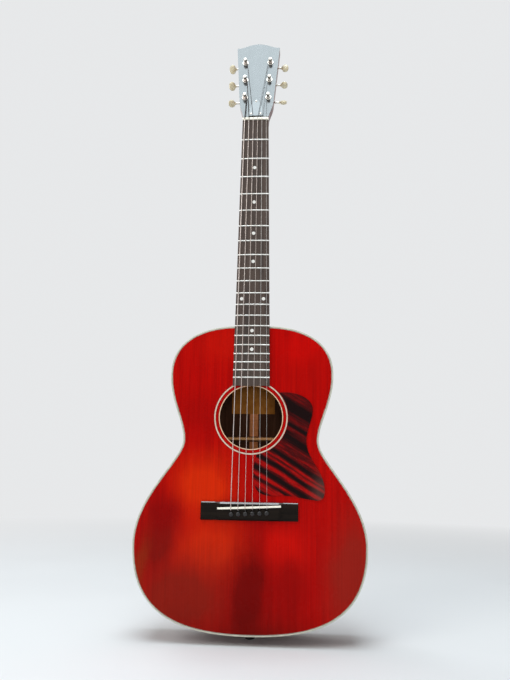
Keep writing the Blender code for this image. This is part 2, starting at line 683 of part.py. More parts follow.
def make_bridge():
    """Bridge with chamfered long edges, its saddle slot and its pin holes."""
    scoop = [BRIDGE_PLATEAU_HALF + BRIDGE_SCOOP * share for share in (0.0, 0.25, 0.5, 0.75, 1.0)]
    places = scoop + [BRIDGE_HALF - BRIDGE_END_ROUND, BRIDGE_HALF]
    rings = []
    for x in [-place_x for place_x in reversed(places)] + places:
        height = bridge_height(x)
        if abs(x) == BRIDGE_HALF:
            height -= BRIDGE_END_ROUND
        chamfer = height * BRIDGE_CHAMFER_SHARE
        slope = chamfer * BRIDGE_CHAMFER_SLOPE
        ring = [(x, -GAP, BRIDGE_TOP_Z), (x, -height + chamfer, BRIDGE_TOP_Z),
                (x, -height, BRIDGE_TOP_Z - slope), (x, -height, BRIDGE_BOTTOM_Z + slope),
                (x, -height + chamfer, BRIDGE_BOTTOM_Z), (x, -GAP, BRIDGE_BOTTOM_Z)]
        rings.append(ring)
    bridge = loft("bridge", rings, "ebony")
    slot_half = SADDLE_WIDTH / 2.0 + GAP
    slot_end = SADDLE_HALF_LENGTH + GAP
    slot = [saddle_point(-slot_end, -slot_half), saddle_point(slot_end, -slot_half),
            saddle_point(slot_end, slot_half), saddle_point(-slot_end, slot_half)]
    combine(bridge, prism("saddle_slot_form", slot, -0.020, -SADDLE_SLOT_FLOOR, "ebony"), "DIFFERENCE")
    for index in range(STRING_COUNT):
        cutter = prism(numbered("pin_hole_form", index), keyhole_outline(index), -0.020, 0.010, "ebony")
        combine(bridge, cutter, "DIFFERENCE")
    make_saddle()


def saddle_point(along, across):
    """Plan point on the leaning saddle, from its middle."""
    cosine, sine = math.cos(SADDLE_SLANT), math.sin(SADDLE_SLANT)
    return (along * cosine - across * sine, SADDLE_Z + along * sine + across * cosine)


def make_saddle():
    """Saddle with a cambered, rounded top."""
    half = SADDLE_WIDTH / 2.0
    rings = []
    steps = 8
    for step in range(steps + 1):
        along = SADDLE_HALF_LENGTH * (2.0 * step / steps - 1.0)
        top = -SADDLE_TOP + camber(along)
        x_low, z_low = saddle_point(along, -half)
        x_high, z_high = saddle_point(along, half)
        x_mid, z_mid = saddle_point(along, 0.0)
        rings.append([(x_low, -SADDLE_SLOT_FLOOR - GAP, z_low), (x_high, -SADDLE_SLOT_FLOOR - GAP, z_high),
                      (x_high, top + SADDLE_ROUND, z_high), (x_mid, top, z_mid),
                      (x_low, top + SADDLE_ROUND / 2.0, z_low)])
    loft("saddle", rings, "bone", smooth=35)


def make_pins():
    """Six bridge pins, each with its origin on its own axis at the bridge's top."""
    top = -BRIDGE_HEIGHT
    seat = -GAP
    for index in range(STRING_COUNT):
        x = string_x(index, PIN_SPREAD)
        profile = ((PIN_TIP_RADIUS * 0.5, PIN_TIP_Y - top + 0.001), (PIN_TIP_RADIUS, PIN_TIP_Y - top),
                   (PIN_SHANK_RADIUS, seat), (PIN_HEAD_RADIUS - 0.0004, seat),
                   (PIN_HEAD_RADIUS, seat - 0.0007), (PIN_HEAD_RADIUS - 0.0003, seat - 0.0018),
                   (PIN_HEAD_RADIUS * 0.68, seat - 0.0028), (PIN_HEAD_RADIUS * 0.3, seat - 0.0032))
        loft(numbered("bridge_pin", index), turned(profile, 10, "Y"), "ebony", smooth=40,
             location=(x, top, slanted(x, PIN_Z)))


def neck_section(z, half, depth):
    """D-shaped slice across the neck, flat at the board."""
    ring = []
    for step in range(NECK_STEPS + 1):
        angle = math.pi * step / NECK_STEPS
        across = math.copysign(abs(math.cos(angle)) ** 0.92, math.cos(angle))
        ring.append((half * across, depth * math.sin(angle) ** 0.85, z))
    return ring


def board_half(z):
    """Half width of the fretboard at a height."""
    share = z / BOARD_END_Z
    return (NUT_WIDTH + (BOARD_END_WIDTH - NUT_WIDTH) * share) / 2.0


def make_neck(head):
    """Shaft, heel, tenon and head carved from one length of wood."""
    shoulder = JOINT_Z + GAP
    rings = []
    for z in (NECK_TOP_Z, 0.0, shoulder * 0.33, shoulder * 0.67, shoulder):
        share = max(0.0, z / shoulder)
        depth = NECK_DEPTH_NUT + (NECK_DEPTH_HEEL - NECK_DEPTH_NUT) * share
        rings.append(neck_section(z, board_half(min(z, 0.0)), depth))
    neck = loft("neck", rings, "cherry_mahogany", smooth=30)
    combine(neck, make_heel(shoulder), "UNION")
    combine(neck, make_head_form(head), "UNION")
    tenon_half = TENON_HALF_WIDTH
    outline = [(-tenon_half, JOINT_Z - TENON_LENGTH), (tenon_half, JOINT_Z - TENON_LENGTH),
               (tenon_half, shoulder + 0.004), (-tenon_half, shoulder + 0.004)]
    combine(neck, prism("tenon_form", outline, TENON_FRONT, TENON_BACK, "cherry_mahogany"), "UNION")
    channel = [(-CHANNEL_HALF, CHANNEL_LOW_Z), (CHANNEL_HALF, CHANNEL_LOW_Z),
               (CHANNEL_HALF, POCKET_HIGH_Z), (-CHANNEL_HALF, POCKET_HIGH_Z)]
    channel_form = prism("rod_channel_form", channel, POCKET_LOW_Z, CHANNEL_DEPTH, "cherry_mahogany")
    combine(neck, channel_form, "DIFFERENCE")
    pocket = [(-POCKET_HALF, POCKET_LOW_Z), (POCKET_HALF, POCKET_LOW_Z),
              (POCKET_HALF, POCKET_HIGH_Z), (-POCKET_HALF, POCKET_HIGH_Z)]
    pocket_form = prism("rod_pocket_form", pocket, -BOARD_THICKNESS, POCKET_DEPTH, "cherry_mahogany")
    combine(neck, pocket_form, "DIFFERENCE")
    for index in range(STRING_COUNT):
        combine(neck, post_hole_form(head, index), "DIFFERENCE")
    return pocket_form


def make_heel(shoulder):
    """Heel slices from the board's plane back to the cap, sweeping into the neck."""
    rings = []
    for depth in HEEL_DEPTHS:
        half = HEEL_TIP_HALF + HEEL_FLARE_HALF * math.exp(-depth / HEEL_FADE)
        reach = HEEL_TIP_REACH + HEEL_SWEEP / (max(depth, HEEL_SHALLOWEST) - HEEL_FOLD)
        ring = []
        for step in range(NECK_STEPS + 1):
            angle = math.pi * step / NECK_STEPS
            across = math.copysign(abs(math.cos(angle)) ** 0.9, math.cos(angle))
            ring.append((half * across, depth, shoulder + reach * math.sin(angle)))
        rings.append(ring)
    outline = [(x, z) for x, unused, z in rings[-1]]
    cap_front = HEEL_DEPTHS[-1] + GAP
    prism("heel_cap", outline, cap_front, cap_front + HEEL_CAP_THICKNESS, "ivoroid", smooth=30)
    return loft("heel_form", rings, "cherry_mahogany", smooth=30)


def head_outline():
    """Head plan in head coordinates: flared from the nut, square ears, domed top."""
    nut_half = NUT_WIDTH / 2.0
    cheek, dip = HEAD_CHEEK, HEAD_DIP
    ear = (HEAD_EAR_HALF, HEAD_EAR_U)
    crown = (0.0, HEAD_DOME_U)
    right = bezier((nut_half, 0.0), (nut_half, 0.0100), (0.0268, 0.0180), cheek, 6)
    right += bezier(cheek, (0.0305, 0.0600), (0.0345, 0.1150), ear, 3)
    right += bezier(ear, (0.0345, 0.1548), (0.0310, 0.1555), dip, 3)
    right += bezier(dip, (0.0200, 0.1590), (0.0115, HEAD_DOME_U), crown, 6)
    left = [(-x, u) for x, u in reversed(right)]
    return right + [crown] + left


def head_prism(name, head, low, high, finish, outline):
    """Outline in head coordinates run between two levels."""
    rings = [[(x, u, level) for x, u in outline] for level in (low, high)]
    return loft(name, rings, finish, parent=head)


def make_head_form(head):
    return head_prism("head_form", head, -HEAD_THICKNESS, 0.0, "cherry_mahogany", head_outline())


def make_overlay(head, pocket_form):
    """Black face of the head, ending against the nut."""
    outline = [(x, max(u, OVERLAY_START_U)) for x, u in head_outline()]
    overlay = head_prism("head_overlay", head, GAP, GAP + OVERLAY_THICKNESS, "black_lacquer", outline)
    combine(overlay, pocket_form, "DIFFERENCE")
    for index in range(STRING_COUNT):
        combine(overlay, bpy.data.objects[numbered("post_hole_form", index)], "DIFFERENCE")
    level = 2.0 * GAP + OVERLAY_THICKNESS
    crown = (0.0, COVER_HIGH_U)
    cover = [(COVER_HALF, COVER_LOW_U)]
    cover += bezier((COVER_HALF, 0.0080), (COVER_HALF, 0.0260), (0.0040, 0.0330), crown, 5)
    cover += [crown] + [(-x, u) for x, u in reversed(cover)]
    head_prism("truss_rod_cover", head, level, level + COVER_THICKNESS, "black_lacquer", cover)


def make_board_and_nut():
    """Tapered, cambered board with its frets, and the nut at its upper end."""
    stations = [(-GAP, 0.0)]
    for number in range(1, FRET_COUNT + 1):
        middle = fret_z(number)
        half = FRET_WIDTH / 2.0
        stations += [(middle + half, 0.0), (middle + half * 0.55, FRET_HEIGHT),
                     (middle - half * 0.55, FRET_HEIGHT), (middle - half, 0.0)]
    stations.append((BOARD_END_Z, 0.0))
    steps = 6
    rings = []
    for z, lift in stations:
        half = board_half(z)
        ring = [(half, -GAP, z)]
        for step in range(steps + 1):
            x = half * (1.0 - 2.0 * step / steps)
            ring.append((x, -BOARD_THICKNESS + camber(x) - lift, z))
        ring.append((-half, -GAP, z))
        rings.append(ring)
    loft("fretboard", rings, "rosewood")
    half = NUT_WIDTH / 2.0
    rings = []
    for step in range(steps + 1):
        x = half * (2.0 * step / steps - 1.0)
        top = -NUT_HEIGHT + camber(x)
        rings.append([(x, -GAP, 0.0), (x, top, 0.0), (x, top, 0.0022), (x, top + 0.0022, NUT_DEPTH_Z),
                      (x, -GAP, NUT_DEPTH_Z)])
    loft("nut", rings, "bone")


def make_truss_rod():
    """Steel rod in its channel, with the hexagonal nut that tightens it."""
    rod = turned(((ROD_RADIUS, ROD_LOW_Z), (ROD_RADIUS, ROD_HIGH_Z)), 10)
    loft("truss_rod", rod, "steel", smooth=40, location=(0.0, ROD_DEPTH, 0.0))
    low, high = ROD_NUT_LOW_Z, ROD_NUT_HIGH_Z
    rings = []
    for (out_x, out_y), (in_x, in_y) in zip(circle(0.0, 0.0, ROD_NUT_RADIUS, 6),
                                            circle(0.0, 0.0, ROD_RADIUS + 2.0 * GAP, 6)):
        rings.append([(out_x, out_y, low), (out_x, out_y, high), (in_x, in_y, high), (in_x, in_y, low)])
    loft("truss_rod_nut", rings, "steel", closed=True, location=(0.0, ROD_DEPTH, 0.0))


def numbered(name, index):
    """Name with a string's number: 1 is the thinnest, at +X."""
    return "%s_%d" % (name, STRING_COUNT - index)


def post_place(index):
    """Side (-1 bass, +1 treble) and row of a string's post; row 0 is nearest the nut."""
    if index < 3:
        return -1.0, index
    return 1.0, 5 - index


def strip_frame(head, side):
    """Axes of one side's strip, made on first use."""
    name = "strip_frame_bass" if side < 0.0 else "strip_frame_treble"
    frame = bpy.data.objects.get(name)
    if frame is None:
        frame = bpy.data.objects.new(name, None)
        bpy.context.scene.collection.objects.link(frame)
        frame.parent = head
        frame.location = (side * POST_MIDDLE_X, POST_MIDDLE_U, 0.0)
        frame.rotation_euler = (0.0, 0.0, -side * POST_SPLAY)
    return frame


def post_hole_form(head, index):
    side, row = post_place(index)
    rings = turned(((POST_HOLE_RADIUS, -0.020), (POST_HOLE_RADIUS, 0.010)), 12)
    return loft(numbered("post_hole_form", index), rings, "nickel", parent=strip_frame(head, side),
                location=(0.0, (row - 1) * POST_PITCH, 0.0))


def gear_outline(level):
    """Teeth turned a little with level, to lie along the worm's thread."""
    pitch_radius = GEAR_MODULE * GEAR_TEETH / 2.0
    tip, root = pitch_radius + TOOTH_RISE, pitch_radius - TOOTH_FALL
    lead = GEAR_MODULE / (2.0 * WORM_PITCH_RADIUS)
    twist = lead * level / pitch_radius
    step = 2.0 * math.pi / GEAR_TEETH
    outline = []
    for tooth in range(GEAR_TEETH):
        middle = math.pi / 2.0 + (tooth + 0.5) * step + twist
        for radius, half in ((root, -TOOTH_ROOT_HALF), (tip, -TOOTH_TIP_HALF), (tip, TOOTH_TIP_HALF),
                             (root, TOOTH_ROOT_HALF)):
            angle = middle + half / radius
            outline.append((radius * math.cos(angle), radius * math.sin(angle)))
    return outline


def make_post(head, index):
    """String post with its gear behind the head; its origin is on its own axis."""
    side, row = post_place(index)
    frame = strip_frame(head, side)
    where = (0.0, (row - 1) * POST_PITCH, 0.0)
    level = WORM_LEVEL
    boss = -HEAD_THICKNESS - GAP - STRIP_THICKNESS - GAP
    profile = ((0.0022, level - 0.0036), (0.0028, level - 0.0028), (0.0028, level),
               (0.0034, boss), (POST_RADIUS, boss + GAP), (POST_RADIUS, BARREL_LOW),
               (BARREL_RADIUS, BARREL_LOW), (BARREL_RADIUS, BARREL_HIGH), (POST_RADIUS, BARREL_HIGH),
               (POST_RADIUS, POST_TOP - 0.0005), (POST_RADIUS - 0.0006, POST_TOP))
    post = loft(numbered("tuner_post", index), turned(profile, 10), "nickel", smooth=40, parent=frame,
                location=where)
    rings = []
    for offset in (-GEAR_HALF_THICKNESS, GEAR_HALF_THICKNESS):
        rings.append([(side * x, y, level + offset) for x, y in gear_outline(offset)])
    gear = loft(numbered("gear_form", index), rings, "nickel", parent=frame, location=where)
    combine(post, gear, "UNION")
    reach = 2.0 * POST_RADIUS
    hole = turned(((STRING_HOLE_RADIUS, -reach), (STRING_HOLE_RADIUS, reach)), 8, "X")
    hole_form = loft(numbered("string_hole_form", index), hole, "nickel", parent=frame,
                     location=(0.0, where[1], BARREL_HIGH + STRING_HOLE_RISE))
    combine(post, hole_form, "DIFFERENCE")


def button_rings(side, angle):
    """Oval button on its collar, turned about the shaft."""
    inner = BUTTON_CENTRE - BUTTON_HALF_LENGTH
    stations = [(inner - 0.0016, 0.0022, 0.0022), (inner - 0.0002, 0.0022, 0.0022)]
    steps = 6
    for step in range(steps + 1):
        sweep = math.pi * (0.13 + 0.80 * step / steps)
        along = BUTTON_CENTRE - BUTTON_HALF_LENGTH * math.cos(sweep)
        stations.append((along, BUTTON_HALF_WIDTH * math.sin(sweep) ** 0.9,
                         BUTTON_HALF_THICKNESS * math.sin(sweep) ** 0.5))
    rings = []
    for along, wide, thick in stations:
        ring = []
        for first, second in circle(0.0, 0.0, 1.0, 8):
            y, z = first * wide, second * thick
            turned_y = y * math.cos(angle) - z * math.sin(angle)
            turned_z = y * math.sin(angle) + z * math.cos(angle)
            ring.append((side * along, turned_y, turned_z))
        rings.append(ring)
    return rings


def make_key(head, index):
    """Worm, shaft and button; the origin is on the shaft's axis beside its gear."""
    side, row = post_place(index)
    frame = strip_frame(head, side)
    pitch = GEAR_MODULE * math.pi
    centre = GEAR_MODULE * GEAR_TEETH / 2.0 + WORM_PITCH_RADIUS
    where = (0.0, (row - 1) * POST_PITCH + centre, WORM_LEVEL)
    shaft = ((SHAFT_RADIUS, SHAFT_INNER), (SHAFT_RADIUS, -WORM_HALF_LENGTH),
             (WORM_CORE_RADIUS, -WORM_HALF_LENGTH), (WORM_CORE_RADIUS, WORM_HALF_LENGTH),
             (SHAFT_RADIUS, WORM_HALF_LENGTH), (SHAFT_RADIUS, SHAFT_OUTER))
    rings = [[(side * x, y, z) for x, y, z in ring] for ring in turned(shaft, 8, "X")]
    rings += button_rings(side, math.radians(BUTTON_ANGLES[index]))
    key = loft(numbered("tuner_key", index), rings, "cream_plastic", smooth=40, parent=frame, location=where)
    per_turn = 10
    steps = WORM_TURNS * per_turn
    buried = WORM_CORE_RADIUS - GAP
    thread = []
    for step in range(steps + 1):
        angle = math.pi + 2.0 * math.pi * (step / per_turn - WORM_TURNS / 2.0)
        along = pitch * (angle - math.pi) / (2.0 * math.pi)
        corners = ((buried, -THREAD_ROOT_HALF), (WORM_TIP_RADIUS, -THREAD_TIP_HALF),
                   (WORM_TIP_RADIUS, THREAD_TIP_HALF), (buried, THREAD_ROOT_HALF))
        thread.append([(side * (along + shift), radius * math.cos(angle), radius * math.sin(angle))
                       for radius, shift in corners])
    thread_form = loft(numbered("thread_form", index), thread, "nickel", parent=frame, location=where)
    combine(key, thread_form, "UNION")


def make_strip(head, side, name):
    """Plate behind the head with two bearing ears for each key shaft."""
    frame = strip_frame(head, side)
    low = -HEAD_THICKNESS - GAP - STRIP_THICKNESS
    high = -HEAD_THICKNESS - GAP
    centre_x = STRIP_HALF_WIDTH - STRIP_END_ROUND
    centre_y = POST_PITCH + STRIP_END_REACH - STRIP_END_ROUND
    outline = []
    for sign_x, sign_y, start in ((1, 1, 0.0), (-1, 1, 90.0), (-1, -1, 180.0), (1, -1, 270.0)):
        for step in range(4):
            angle = math.radians(start + 30.0 * step)
            outline.append((side * (sign_x * centre_x + STRIP_END_ROUND * math.cos(angle)),
                            sign_y * centre_y + STRIP_END_ROUND * math.sin(angle)))
    rings = [[(x, y, level) for x, y in outline] for level in (low, high)]
    plate = loft(name, rings, "nickel", parent=frame)
    centre = GEAR_MODULE * GEAR_TEETH / 2.0 + WORM_PITCH_RADIUS
    for row in range(3):
        post_y = (row - 1) * POST_PITCH
        middle, foot, tip = post_y + centre, low + EAR_ROOT, WORM_LEVEL - EAR_RISE
        corners = [(middle - EAR_SPAN, foot), (middle + EAR_SPAN, foot),
                   (middle + EAR_SPAN, tip + EAR_SHOULDER), (middle + EAR_SPAN * 0.5, tip),
                   (middle - EAR_SPAN * 0.5, tip), (middle - EAR_SPAN, tip + EAR_SHOULDER)]
        for ear, along in (("inner", -EAR_OFFSET), ("outer", EAR_OFFSET)):
            ear_rings = [[(side * (along + shift), y, z) for y, z in corners]
                         for shift in (-EAR_HALF_THICKNESS, EAR_HALF_THICKNESS)]
            ear_form = loft("%s_%s_ear_form_%d" % (name, ear, row), ear_rings, "nickel", parent=frame)
            combine(plate, ear_form, "UNION")
        shaft_bore = turned(((SHAFT_RADIUS + GAP, -0.0080), (SHAFT_RADIUS + GAP, 0.0080)), 8, "X")
        bore_form = loft("%s_shaft_bore_form_%d" % (name, row), shaft_bore, "nickel", parent=frame,
                         location=(0.0, middle, WORM_LEVEL))
        combine(plate, bore_form, "DIFFERENCE")
        post_bore = turned(((POST_RADIUS + GAP, -0.020), (POST_RADIUS + GAP, -0.010)), 10)
        post_form = loft("%s_post_bore_form_%d" % (name, row), post_bore, "nickel", parent=frame,
                         location=(0.0, post_y, 0.0))
        combine(plate, post_form, "DIFFERENCE")


def make_strings(head):
    """Strings from the ball under the bridge plate to just beside each post's barrel."""
    head_frame = head.matrix_world
    for index in range(STRING_COUNT):
        radius = STRING_RADII[index]
        pin_x = string_x(index, PIN_SPREAD)
        pin_z = slanted(pin_x, PIN_Z)
        saddle_x = string_x(index, STRING_SPREAD_SADDLE)
        saddle_y = -SADDLE_TOP + camber(saddle_x) - GAP - radius
        nut_x = string_x(index, STRING_SPREAD_NUT)
        nut_y = -NUT_HEIGHT + camber(nut_x) - GAP - radius
        side, row = post_place(index)
        lean = (row - 1) * POST_PITCH
        post_x = side * (POST_MIDDLE_X + lean * math.sin(POST_SPLAY) - BARREL_RADIUS - GAP - radius)
        post_u = POST_MIDDLE_U + lean * math.cos(POST_SPLAY)
        ball_y = TOP_THICKNESS + BRIDGE_PLATE_THICKNESS + 2.0 * GAP + BALL_RADIUS
        ball_z = pin_z + BALL_REACH
        route = [(pin_x, ball_y + BALL_RADIUS * 0.75, ball_z), (pin_x, ball_y + BALL_RADIUS * 0.5, ball_z),
                 (pin_x, ball_y - BALL_RADIUS * 0.6, ball_z), (pin_x, ball_y - BALL_RADIUS, ball_z - 0.0002),
                 (pin_x, 0.0030, pin_z + STRING_RISE), (pin_x, 0.0010 - BRIDGE_HEIGHT, pin_z + STRING_RISE),
                 (saddle_x, saddle_y, slanted(saddle_x, SADDLE_Z) - SADDLE_WIDTH * 0.62),
                 (nut_x, nut_y, 0.0010), (nut_x, nut_y, 0.0022),
                 tuple(head_frame @ Vector((post_x, post_u, STRING_LIFT)))]
        radii = [BALL_RADIUS * 0.55, BALL_RADIUS, BALL_RADIUS] + [radius] * (len(route) - 3)
        loft(numbered("string", index), tube_rings(route, radii, 8),
             "bronze" if index < 4 else "steel", smooth=60)


def main():
    clear_scene()
    head = bpy.data.objects.new("head_frame", None)
    bpy.context.scene.collection.objects.link(head)
    head.location = (0.0, 0.0, HEAD_ROOT_Z)
    head.rotation_euler = (math.pi / 2.0 - HEAD_TILT, 0.0, 0.0)
    bpy.context.view_layer.update()
    make_plates()
    make_rims()
    make_blocks()
    make_bracing()
    make_rings_and_guard()
    make_bridge()
    make_pins()
    pocket_form = make_neck(head)
    make_overlay(head, pocket_form)
    make_board_and_nut()
    make_truss_rod()
    for index in range(STRING_COUNT):
        make_post(head, index)
        make_key(head, index)
    make_strip(head, -1.0, "tuner_plate_bass")
    make_strip(head, 1.0, "tuner_plate_treble")
    make_strings(head)


main()
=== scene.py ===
"""Looks of a small-bodied flat-top acoustic guitar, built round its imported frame.

Lengths are metres. +X is the treble side, the front faces -Y and +Z runs up the neck. The
origin is the middle of the nut line on the soundboard's front plane.
"""
import logging
import math
from dataclasses import dataclass
from enum import Enum
from typing import Optional, Sequence, Union

import bmesh
import bpy
from mathutils import Matrix, Vector
from mathutils.geometry import tessellate_polygon


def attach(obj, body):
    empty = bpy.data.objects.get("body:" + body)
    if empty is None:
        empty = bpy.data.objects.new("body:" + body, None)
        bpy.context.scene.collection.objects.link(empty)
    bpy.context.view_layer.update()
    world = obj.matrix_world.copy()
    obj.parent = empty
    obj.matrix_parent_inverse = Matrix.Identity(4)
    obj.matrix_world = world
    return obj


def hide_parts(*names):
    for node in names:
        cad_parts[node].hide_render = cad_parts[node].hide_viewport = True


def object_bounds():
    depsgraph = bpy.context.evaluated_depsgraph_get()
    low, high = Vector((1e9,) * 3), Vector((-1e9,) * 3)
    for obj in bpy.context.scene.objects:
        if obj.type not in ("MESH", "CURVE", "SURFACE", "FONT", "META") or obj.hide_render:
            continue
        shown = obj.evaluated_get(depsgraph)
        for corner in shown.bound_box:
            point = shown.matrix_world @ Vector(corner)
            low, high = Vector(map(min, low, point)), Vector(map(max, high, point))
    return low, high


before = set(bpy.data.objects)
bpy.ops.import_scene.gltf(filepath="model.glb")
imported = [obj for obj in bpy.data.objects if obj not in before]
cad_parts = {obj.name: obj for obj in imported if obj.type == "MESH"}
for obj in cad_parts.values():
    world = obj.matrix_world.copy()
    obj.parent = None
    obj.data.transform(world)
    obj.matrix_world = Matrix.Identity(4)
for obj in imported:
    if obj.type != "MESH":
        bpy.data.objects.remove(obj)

CAD_BOX = [list(corner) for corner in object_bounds()]
ROOT_BODY = "guitar"
STRING_COUNT = 6
GLUE_GAP = 0.00002
SHARP_ANGLE = math.radians(32.0)

log = logging.getLogger("guitar")

Plan = tuple[float, float]
Point = tuple[float, float, float]
Colour = tuple[float, float, float]
Box = tuple[float, float, float, float, float]
Socket = bpy.types.NodeSocket
Value = Union[Socket, float]


class Side(Enum):
    """The two sides of the guitar, by the sign of X."""

    BASS = -1.0
    TREBLE = 1.0


class Grain(Enum):
    """Which way a wood's fibres run, as the stretch of its pattern."""

    UP = (1.0, 1.0, 0.035)
    ACROSS = (0.035, 1.0, 1.0)
    ROUND = (0.045, 1.0, 0.045)


@dataclass(frozen=True)
class PaintedLightPatch:
    """Soft oval in the plan where light or shade is painted into a finish."""

    centre: Plan
    reach: Plan
    lean: float
    colour: Colour
    strength: float


class Graph:
    """Node tree of one material, with short ways to add and join its nodes."""

    def __init__(self, name: str) -> None:
        """Start a material and take hold of its shader.

        Args:
            name: the material's name.
        """
        self.material = bpy.data.materials.new(name)
        self.material.use_nodes = True
        self.tree = self.material.node_tree
        self.shader = self.tree.nodes["Principled BSDF"]
        self.place = self.node("ShaderNodeTexCoord").outputs["Object"]

    def node(self, kind: str, inputs: Optional[dict] = None, **settings: object) -> bpy.types.Node:
        """Add one node.

        Args:
            kind: the node's type name.
            inputs: socket names or numbers, each with a value or a socket to join.
            settings: the node's own properties.

        Returns:
            The new node.
        """
        made = self.tree.nodes.new(kind)
        for key, value in settings.items():
            setattr(made, key, value)
        for key, value in (inputs or {}).items():
            self.put(made.inputs[key], value)
        return made

    def put(self, socket: Socket, value: object) -> None:
        """Join a socket to another, or set its value; colours may have three numbers.

        Args:
            socket: the input to feed.
            value: a socket, a number or a colour.
        """
        if isinstance(value, bpy.types.NodeSocket):
            self.tree.links.new(value, socket)
        elif socket.type == "RGBA" and len(value) == 3:
            socket.default_value = (*value, 1.0)
        else:
            socket.default_value = value

    def mapped(self, scale: Point, vector: Optional[Socket] = None, lean: float = 0.0) -> Socket:
        """Coordinates stretched and then leant in the plan.

        Args:
            scale: factor along each axis.
            vector: what is mapped; object coordinates where none is given.
            lean: turn about the depth axis, in degrees.

        Returns:
            The mapped vector's socket.
        """
        turn = (0.0, math.radians(lean), 0.0)
        read = self.place if vector is None else vector
        inputs = {"Vector": read, "Rotation": turn, "Scale": scale}
        return self.node("ShaderNodeMapping", inputs).outputs["Vector"]

    def noise(self, vector: Socket, scale: float, detail: float = 3.0, roughness: float = 0.5,
              distortion: float = 0.0) -> Socket:
        """Cloudy noise from 0 to 1.

        Args:
            vector: where the noise is read.
            scale: cells to a metre.
            detail: octaves.
            roughness: weight of the finer octaves.
            distortion: how far the cells are bent.

        Returns:
            The noise value's socket.
        """
        inputs = {"Vector": vector, "Scale": scale, "Detail": detail, "Roughness": roughness,
                  "Distortion": distortion}
        return self.node("ShaderNodeTexNoise", inputs).outputs["Fac"]

    def ribs(self, scale: float) -> Socket:
        """Even ribs up the guitar, from 0 to 1, closer where the scale is larger."""
        inputs = {"Vector": self.place, "Scale": scale, "Distortion": 0.0, "Detail": 0.0}
        return self.node("ShaderNodeTexWave", inputs, bands_direction="Z").outputs["Fac"]

    def oval(self, vector: Socket, patch: PaintedLightPatch, full: float) -> Socket:
        """Soft oval mask in the plan, where light or shade is painted.

        Args:
            vector: where the mask is read.
            patch: its place, reach, lean and strength.
            full: level of the soft ball above which the mask has its whole strength.

        Returns:
            The mask's socket.
        """
        local = self.node("ShaderNodeMapping", {
            "Vector": vector, "Location": (patch.centre[0], 0.0, patch.centre[1]),
            "Rotation": (0.0, math.radians(patch.lean), 0.0),
            "Scale": (patch.reach[0], 1.0, patch.reach[1])}, vector_type="TEXTURE")
        ball = self.node("ShaderNodeTexGradient", {"Vector": local.outputs["Vector"]},
                         gradient_type="QUADRATIC_SPHERE")
        return self.spread(ball.outputs["Fac"], 0.0, full, 0.0, patch.strength)

    def ramp(self, factor: Socket, stops: Sequence[tuple[float, Colour]]) -> Socket:
        """Colours that follow a value.

        Args:
            factor: the value from 0 to 1.
            stops: pairs of position and colour, in rising order.

        Returns:
            The colour's socket.
        """
        made = self.node("ShaderNodeValToRGB", {"Fac": factor})
        elements = made.color_ramp.elements
        while len(elements) < len(stops):
            elements.new(0.5)
        for element, (position, colour) in zip(elements, stops):
            element.position = position
            element.color = (*colour, 1.0)
        return made.outputs["Color"]

    def spread(self, factor: Socket, low: float, high: float, start: float = 0.0,
               end: float = 1.0) -> Socket:
        """Value stretched so that low becomes start and high becomes end, and kept between them."""
        inputs = {"Value": factor, "From Min": low, "From Max": high, "To Min": start,
                  "To Max": end}
        return self.node("ShaderNodeMapRange", inputs).outputs["Result"]

    def mix(self, factor: Value, first: object, second: object) -> Socket:
        """First colour with a share of the second mixed in."""
        inputs = {0: factor, 6: first, 7: second}
        return self.node("ShaderNodeMix", inputs, data_type="RGBA").outputs[2]

    def sums(self, operation: str, first: Value, second: Value = 0.0) -> Socket:
        """Result of the named sum on two numbers."""
        return self.node("ShaderNodeMath", {0: first, 1: second}, operation=operation).outputs[0]

    def bump(self, height: Socket, strength: float, distance: float) -> None:
        """Raise the surface by a map from 0 to 1; distance is the height in metres at 1."""
        inputs = {"Height": height, "Strength": strength, "Distance": distance}
        self.shade({"Normal": self.node("ShaderNodeBump", inputs).outputs["Normal"]})

    def shade(self, values: dict) -> None:
        """Set or join the shader's own sockets by name."""
        for key, value in values.items():
            self.put(self.shader.inputs[key], value)


@dataclass(frozen=True)
class Finish:
    """Base of every finish: makes its material once and hands it out."""

    name: str

    def material(self) -> bpy.types.Material:
        """Material of this finish.

        Returns:
            The material, made on first use.
        """
        found = bpy.data.materials.get(self.name)
        if found is None:
            graph = Graph(self.name)
            self.paint(graph)
            found = graph.material
        return found

    def paint(self, graph: Graph) -> None:
        """Lay the finish's nodes; each kind of finish has its own."""
        raise NotImplementedError


